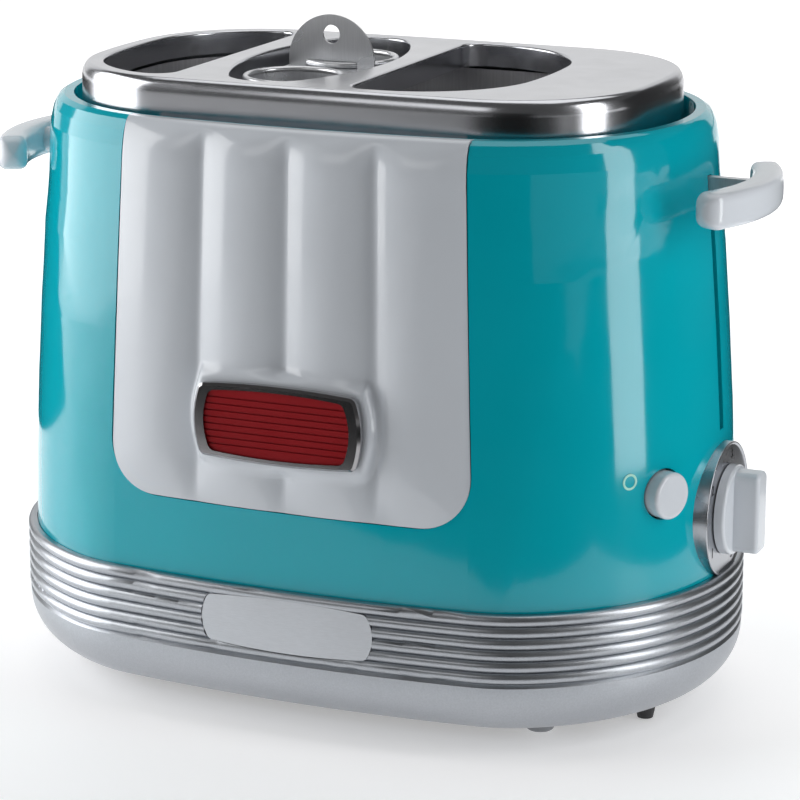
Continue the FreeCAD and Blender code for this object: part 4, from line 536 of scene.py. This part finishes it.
# ---------------------------------------------------------------- steel top

OVAL_X = -24.5
OVAL_TURN = 26.78  # degrees of each side's arc on either side of its middle


def oval_loop(grow):
    """Opening of the sausage cages: two wide arcs at the sides and two round ends."""
    sides, turn = 83.2, OVAL_TURN
    points = []
    for x, y, radius, start, finish in ((OVAL_X - sides, 0, 110.2, -turn, turn),
                                        (OVAL_X, 42, 17, turn, 180 - turn),
                                        (OVAL_X + sides, 0, 110.2, 180 - turn, 180 + turn),
                                        (OVAL_X, -42, 17, 180 + turn, 360 - turn)):
        for k in range(20):
            angle = math.radians(start + (finish - start) * k / 20)
            points.append((x + (radius + grow) * math.cos(angle), y + (radius + grow) * math.sin(angle)))
    return points


def bun_loop(limit, grow, flip=0.0):
    """D-shaped opening at the left end, or turned over and shifted to the right.

    Its straight side is beyond a limit, and its bow runs 5 mm inside the plate's outline."""
    kept = [p for p in outline(RING, 13.0, (60, 30, 12)) if p[0] < -limit]
    radius = 8.0 + grow
    first, last = kept[0], kept[-1]
    points = []
    for k in range(9):
        angle = math.atan2(first[3], first[2]) * k / 9
        points.append((-limit + radius * math.cos(angle), first[1] + radius * math.sin(angle)))
    points += [(x + nx * radius, y + ny * radius) for x, y, nx, ny in kept]
    for k in range(1, 10):
        start = math.atan2(last[3], last[2])
        angle = start - start * k / 9
        points.append((-limit + radius * math.cos(angle), last[1] + radius * math.sin(angle)))
    if flip:
        points = [(flip - x, y) for x, y in reversed(points)]
    return points


def cover_loops(grow):
    """The plate's three openings."""
    return [oval_loop(grow), bun_loop(69.0, grow), bun_loop(56.4, grow, -36.4)]


def top_cover():
    """Steel plate with a rolled rim, a skirt down into the well, and turned-in edges at its openings."""
    verts, faces = [], []

    def add(rows, flip=False):
        more, quads = strips(rows)
        shift = len(verts)
        verts.extend(more)
        faces.extend([tuple(v + shift for v in (reversed(q) if flip else q)) for q in quads])
        return shift

    rim = [at(RING, 0.5, TOP_Z)]
    for s, c in arc(12):
        rim.append(at(RING, -3.4 * s, 234.0 + 6.0 * c))
    rim += [at(RING, -3.4, 225.0), at(RING, -3.4, WELL_FLOOR)]
    rim += [at(RING, -2.4, WELL_FLOOR), at(RING, -2.4, 233.0)]
    starts = [(add(rim, True), len(rim[0]))]
    skirts = [(1.0, 240.0), (0.62, 239.92), (0.29, 239.71), (0.08, 239.38), (0.0, 239.0), (0.0, 236.0),
              (0.0, 231.0), (0.8, 231.0), (0.8, 238.9)]
    for place in range(3):
        rows = [[(x, y, z) for x, y in cover_loops(grow)[place]] for grow, z in skirts]
        starts.append((add(rows), len(rows[0])))
    mesh = bpy.data.meshes.new("flat")
    mesh.from_pydata(verts, [], faces)
    bm = bmesh.new()
    bm.from_mesh(mesh)
    bm.verts.ensure_lookup_table()
    edges = []
    for start, count in starts:
        for k in range(count):
            edges.append(bm.edges.get((bm.verts[start + k], bm.verts[start + (k + 1) % count])))
    bmesh.ops.triangle_fill(bm, use_beauty=True, use_dissolve=False, edges=edges, normal=(0, 0, 1))
    bm.verts.index_update()
    verts = [tuple(v.co) for v in bm.verts]
    faces = []
    for face in bm.faces:
        loop = [v.index for v in face.verts]
        flat = all(abs(v.co.z - TOP_Z) < 1e-4 for v in face.verts)
        faces.append(tuple(reversed(loop)) if flat and face.normal.z < 0 else tuple(loop))
    bm.free()
    bpy.data.meshes.remove(mesh)
    obj = piece("steel_cover", verts, faces, "housing", "top_steel", ("top_cover",), sharp=50)
    weigh(obj)


# ---------------------------------------------------------------- dial ring, numbers and stop mark

DIAL_Z = 80.0


def dial_ring():
    """Ring round the dial: turned side, thin bright edge, flat face with a hole for the shaft."""
    spots = ((-1, 25.5), (16.3, 25.5), (16.55, 25.42), (16.7, 25.2), (16.72, 24.95), (16.6, 24.75),
             (16.3, 24.5), (16.1, 24.3), (16.1, 5.0), (10, 5.0), (-1, 5.0))
    verts, faces = strips(rod_rows((125.5, 0, DIAL_Z), (1, 0, 0), spots, 160), wrap_rows=True)
    obj = piece("dial_ring", verts, faces, "housing", "dial_silver", ("dial_bezel",), sharp=50)
    outward(obj)
    weigh(obj)


def numbers():
    """Numbers 1 to 5 round the dial's ring, a little above its face."""
    face, radius, first, step = 141.66, 20.9, 219.0, 72.0
    verts, faces = [], []
    for k in range(5):
        angle = math.radians(first - step * k)
        data = bpy.data.curves.new("number", "FONT")
        data.body = str(k + 1)
        data.size = 5.4
        data.align_x = "CENTER"
        data.align_y = "CENTER"
        data.offset = 0.05
        data.extrude = 0.04
        temp = bpy.data.objects.new("number", data)
        bpy.context.scene.collection.objects.link(temp)
        mesh = bpy.data.meshes.new_from_object(temp)
        shift = len(verts)
        y, z = radius * math.cos(angle), DIAL_Z + radius * math.sin(angle)
        verts += [(face + v.co.z, y + v.co.x, z + v.co.y) for v in mesh.vertices]
        faces += [tuple(v + shift for v in p.vertices) for p in mesh.polygons]
        bpy.data.objects.remove(temp)
        bpy.data.meshes.remove(mesh)
        bpy.data.curves.remove(data)
    piece("dial_numbers", verts, faces, "housing", "component_black", sharp=30)


MARK = plastic("mark_mint", (0.42, 0.78, 0.66), 0.4, vary=0.03)


def stop_mark():
    """Raised ring beside the stop button."""
    centre = face_point(-53.9, 102.4)
    spots = ((-0.5, 3.05), (0.04, 3.05), (0.12, 2.95), (0.12, 2.3), (0.04, 2.2), (-0.5, 2.2))
    verts, faces = strips(rod_rows(centre, skin_normal(centre), spots, 48), wrap_rows=True)
    piece("stop_mark", verts, faces, "housing", "bush_plastic", sharp=30, flip=True, material=MARK)


# ---------------------------------------------------------------- grips


def capped(rows):
    """Vertices and faces of a tube of rows, closed at both ends."""
    verts, faces = strips(rows)
    width = len(rows[0])
    faces.append(tuple(range(width)))
    faces.append(tuple(reversed(range(len(verts) - width, len(verts)))))
    return verts, faces


def grip(name, node, body, side):
    """Bowed grip with a soft oblong section and round ends; the left one also has its short stem."""
    reach, bow, span, wide, tall, cap, height = 151.0, 70.0, 37.9, 11.55, 13.55, 6.2, 200.0
    along, points = 64, 40
    most = math.asin((span - 0.4) / bow)
    rows = []
    for k in range(along + 1):
        angle = most * -math.cos(math.pi * k / along)
        short = max(0.0, 1 - (most - abs(angle)) * bow / cap)
        scale = max(math.sqrt(1 - short * short), 0.02)
        row = []
        for m in range(points):
            turn = 2 * math.pi * m / points
            c, s = math.cos(turn), math.sin(turn)
            out = math.copysign(abs(c) ** 0.5, c) * wide / 2 * scale
            up = math.copysign(abs(s) ** 0.5, s) * tall / 2 * scale
            radius = bow + out
            x = reach - bow + radius * math.cos(angle)
            row.append((side * x, radius * math.sin(angle), height + up))
        rows.append(row)
    verts, faces = capped(rows)
    if side < 0:
        shift = len(verts)
        spots = ((0, 5.5), (4.5, 5.5), (6, 5.0), (20, 5.0))
        more, quads = strips(rod_rows((-129, 0, height), (-1, 0, 0), spots, 48))
        verts += more
        faces += [tuple(v + shift for v in q) for q in quads]
    outward(piece(name, verts, faces, body, "white_plastic", (node,), sharp=40))


# ---------------------------------------------------------------- lift spring


def lift_spring():
    """Open coil of round wire with closed ends on the back rod, made at one fixed length; the real one
    shortens as the carriage goes down.
    """
    wire, radius, turns, steps, points = 1.16, 4.2, 9.0, 40, 12
    closed = 1.0 / turns
    (x0, y0, z0), (x1, y1, z1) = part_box("lift_spring")
    x, y = (x0 + x1) / 2 / MM, (y0 + y1) / 2 / MM
    low, high = z0 / MM + wire / 2, z1 / MM - wire / 2
    rows = []
    count = int(turns * steps)
    for k in range(count + 1):
        t = k / count
        angle = 2 * math.pi * turns * t
        share = min(max((t - closed) / (1 - 2 * closed), 0.0), 1.0)
        ends = min(t / closed, 1.0) + max((t - 1 + closed) / closed, 0.0)
        z = low + (high - low - 2 * wire) * share + wire * ends
        row = []
        for m in range(points):
            turn = 2 * math.pi * m / points
            r = radius + wire / 2 * math.cos(turn)
            row.append((x + r * math.cos(angle), y + r * math.sin(angle), z + wire / 2 * math.sin(turn)))
        rows.append(row)
    verts, faces = capped(rows)
    obj = piece("coil_spring", verts, faces, "housing", "screw_steel", ("lift_spring",), sharp=50)
    outward(obj)
    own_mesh(obj)


housing()
front_panel()
top_cover()
dial_ring()
numbers()
stop_mark()
grip("lever_grip", "lever_handle", "carriage", 1)
grip("carrying_grip", "left_handle", "housing", -1)
lift_spring()


# ---------------------------------------------------------------- studio


def emitter(name, size, place, target, power):
    """White soft box that faces a target and that the camera doesn't see."""
    data = bpy.data.lights.new(name, "AREA")
    data.shape = "RECTANGLE"
    data.size, data.size_y = size
    data.energy = power
    lamp = bpy.data.objects.new(name, data)
    bpy.context.scene.collection.objects.link(lamp)
    lamp.location = place
    lamp.rotation_euler = (Vector(target) - Vector(place)).to_track_quat("-Z", "Y").to_euler()
    lamp.visible_camera = False


def around(azimuth, distance, height):
    """Place at an azimuth from the front, toward the right."""
    angle = math.radians(azimuth)
    return (math.sin(angle) * distance, -math.cos(angle) * distance, height)


def hidden_card(name, verts, value):
    """Dark card that only reflections see."""
    mesh = bpy.data.meshes.new(name)
    mesh.from_pydata(verts, [], [(0, 1, 2, 3)])
    mat, _, shader = new_material(name)
    shader.inputs["Base Color"].default_value = (value, value, value, 1)
    shader.inputs["Roughness"].default_value = 1.0
    shader.inputs["Specular IOR Level"].default_value = 0.0
    mesh.materials.append(mat)
    obj = bpy.data.objects.new(name, mesh)
    bpy.context.scene.collection.objects.link(obj)
    obj.visible_camera = False
    obj.visible_shadow = False
    obj.visible_diffuse = False


def card(name, azimuth, width, distance, low, high, value):
    """Upright card that faces the object."""
    centre = Vector(around(azimuth, distance, 0))
    side = Vector((0, 0, 1)).cross(centre.normalized()) * width / 2
    foot, top = Vector((0, 0, low)), Vector((0, 0, high))
    left, right = centre - side, centre + side
    hidden_card(name, [left + foot, right + foot, right + top, left + top], value)


def flat_card(name, azimuth, near, far, half):
    """Card just over the floor, from a near to a far distance and wider at its far end."""
    lift, value = 0.002, 0.015
    a, b = Vector(around(azimuth, near, lift)), Vector(around(azimuth, far, lift))
    side = Vector((0, 0, 1)).cross((b - a).normalized()) * half
    hidden_card(name, [a - side * 0.5, a + side * 0.5, b + side, b - side], value)


def floor_piece():
    """Pale floor that grows brighter toward the back."""
    mesh = bpy.data.meshes.new("studio_floor")
    half = 6.0
    corners = [(-half, -half, 0), (half, -half, 0), (half, half, 0), (-half, half, 0)]
    mesh.from_pydata(corners, [], [(0, 1, 2, 3)])
    mat, tree, shader = new_material("floor_white")
    shader.inputs["Base Color"].default_value = (0.82, 0.82, 0.83, 1)
    shader.inputs["Roughness"].default_value = 0.5
    shader.inputs["Emission Color"].default_value = (1, 1, 1, 1)
    split = tree.nodes.new("ShaderNodeSeparateXYZ")
    link(tree, coords(tree), split.inputs["Vector"])
    glow = spread(tree, split.outputs["Y"], -0.3, 0.9, 0.2, 1.0)
    link(tree, glow, shader.inputs["Emission Strength"])
    obj = bpy.data.objects.new("studio_floor", mesh)
    mesh.materials.append(mat)
    bpy.context.scene.collection.objects.link(obj)


def sky(scene):
    """White for the camera, dim grey for light and reflections."""
    world = bpy.data.worlds.new("studio_world")
    world.use_nodes = True
    tree = world.node_tree
    back = tree.nodes["Background"]
    back.inputs["Color"].default_value = (1, 1, 1, 1)
    path = tree.nodes.new("ShaderNodeLightPath")
    level = tree.nodes.new("ShaderNodeMapRange")
    level.inputs["To Min"].default_value = 0.07
    level.inputs["To Max"].default_value = 1.0
    link(tree, path.outputs["Is Camera Ray"], level.inputs["Value"])
    link(tree, level.outputs["Result"], back.inputs["Strength"])
    scene.world = world


def lights():
    """Soft boxes, and dark cards that shape what the gloss and the steel reflect."""
    emitter("left_box", (0.95, 0.9), around(-72, 0.95, 0.42), (0, 0, 0.16), 9.5)
    emitter("right_strip", (0.15, 0.5), around(84, 0.52, 0.25), (0.1, 0, 0.14), 1.1)
    emitter("top_box", (1.3, 1.0), (0.0, 0.25, 1.2), (0, 0, 0.2), 5.0)
    emitter("front_fill", (0.8, 0.5), around(-12, 1.5, 0.9), (0, 0, 0.12), 1.5)
    emitter("back_wall", (2.6, 1.1), around(-156, 1.7, 0.72), (0, 0, 0.25), 7.0)
    card("front_card", 22, 0.9, 1.6, 0.0, 0.5, 0.02)
    card("back_card", 140, 0.8, 0.9, 0.0, 0.6, 0.03)
    flat_card("front_floor", 23.6, 0.32, 2.4, 1.1)
    flat_card("right_floor", 98, 0.36, 2.2, 1.0)
    flat_card("back_floor", 146, 0.36, 2.0, 0.9)
    flat_card("left_floor", -130, 0.42, 2.2, 0.8)


def camera(scene):
    """Camera of the photograph, with its focal length and middle in the photograph's pixels."""
    picture, focal, middle, sensor = 800, 3190.71, (380.78, 367.76), 36.0
    azimuth, elevation, distance = math.radians(23.61), math.radians(14.31), 1.24236
    target = Vector((0, 0, 0.12))
    level = math.cos(elevation)
    back = Vector((math.sin(azimuth) * level, -math.cos(azimuth) * level, math.sin(elevation)))
    data = bpy.data.cameras.new("camera")
    data.sensor_width = sensor
    data.lens = focal / picture * sensor
    data.shift_x = (picture / 2 - middle[0]) / picture
    data.shift_y = -(picture / 2 - middle[1]) / picture
    cam = bpy.data.objects.new("camera", data)
    cam.location = target + back * distance
    cam.rotation_euler = (-back).to_track_quat("-Z", "Y").to_euler()
    scene.collection.objects.link(cam)
    scene.camera = cam


def studio():
    """Floor, sky, lights and camera."""
    scene = bpy.context.scene
    sky(scene)
    scene.view_settings.view_transform = "Standard"
    floor_piece()
    lights()
    camera(scene)


studio()
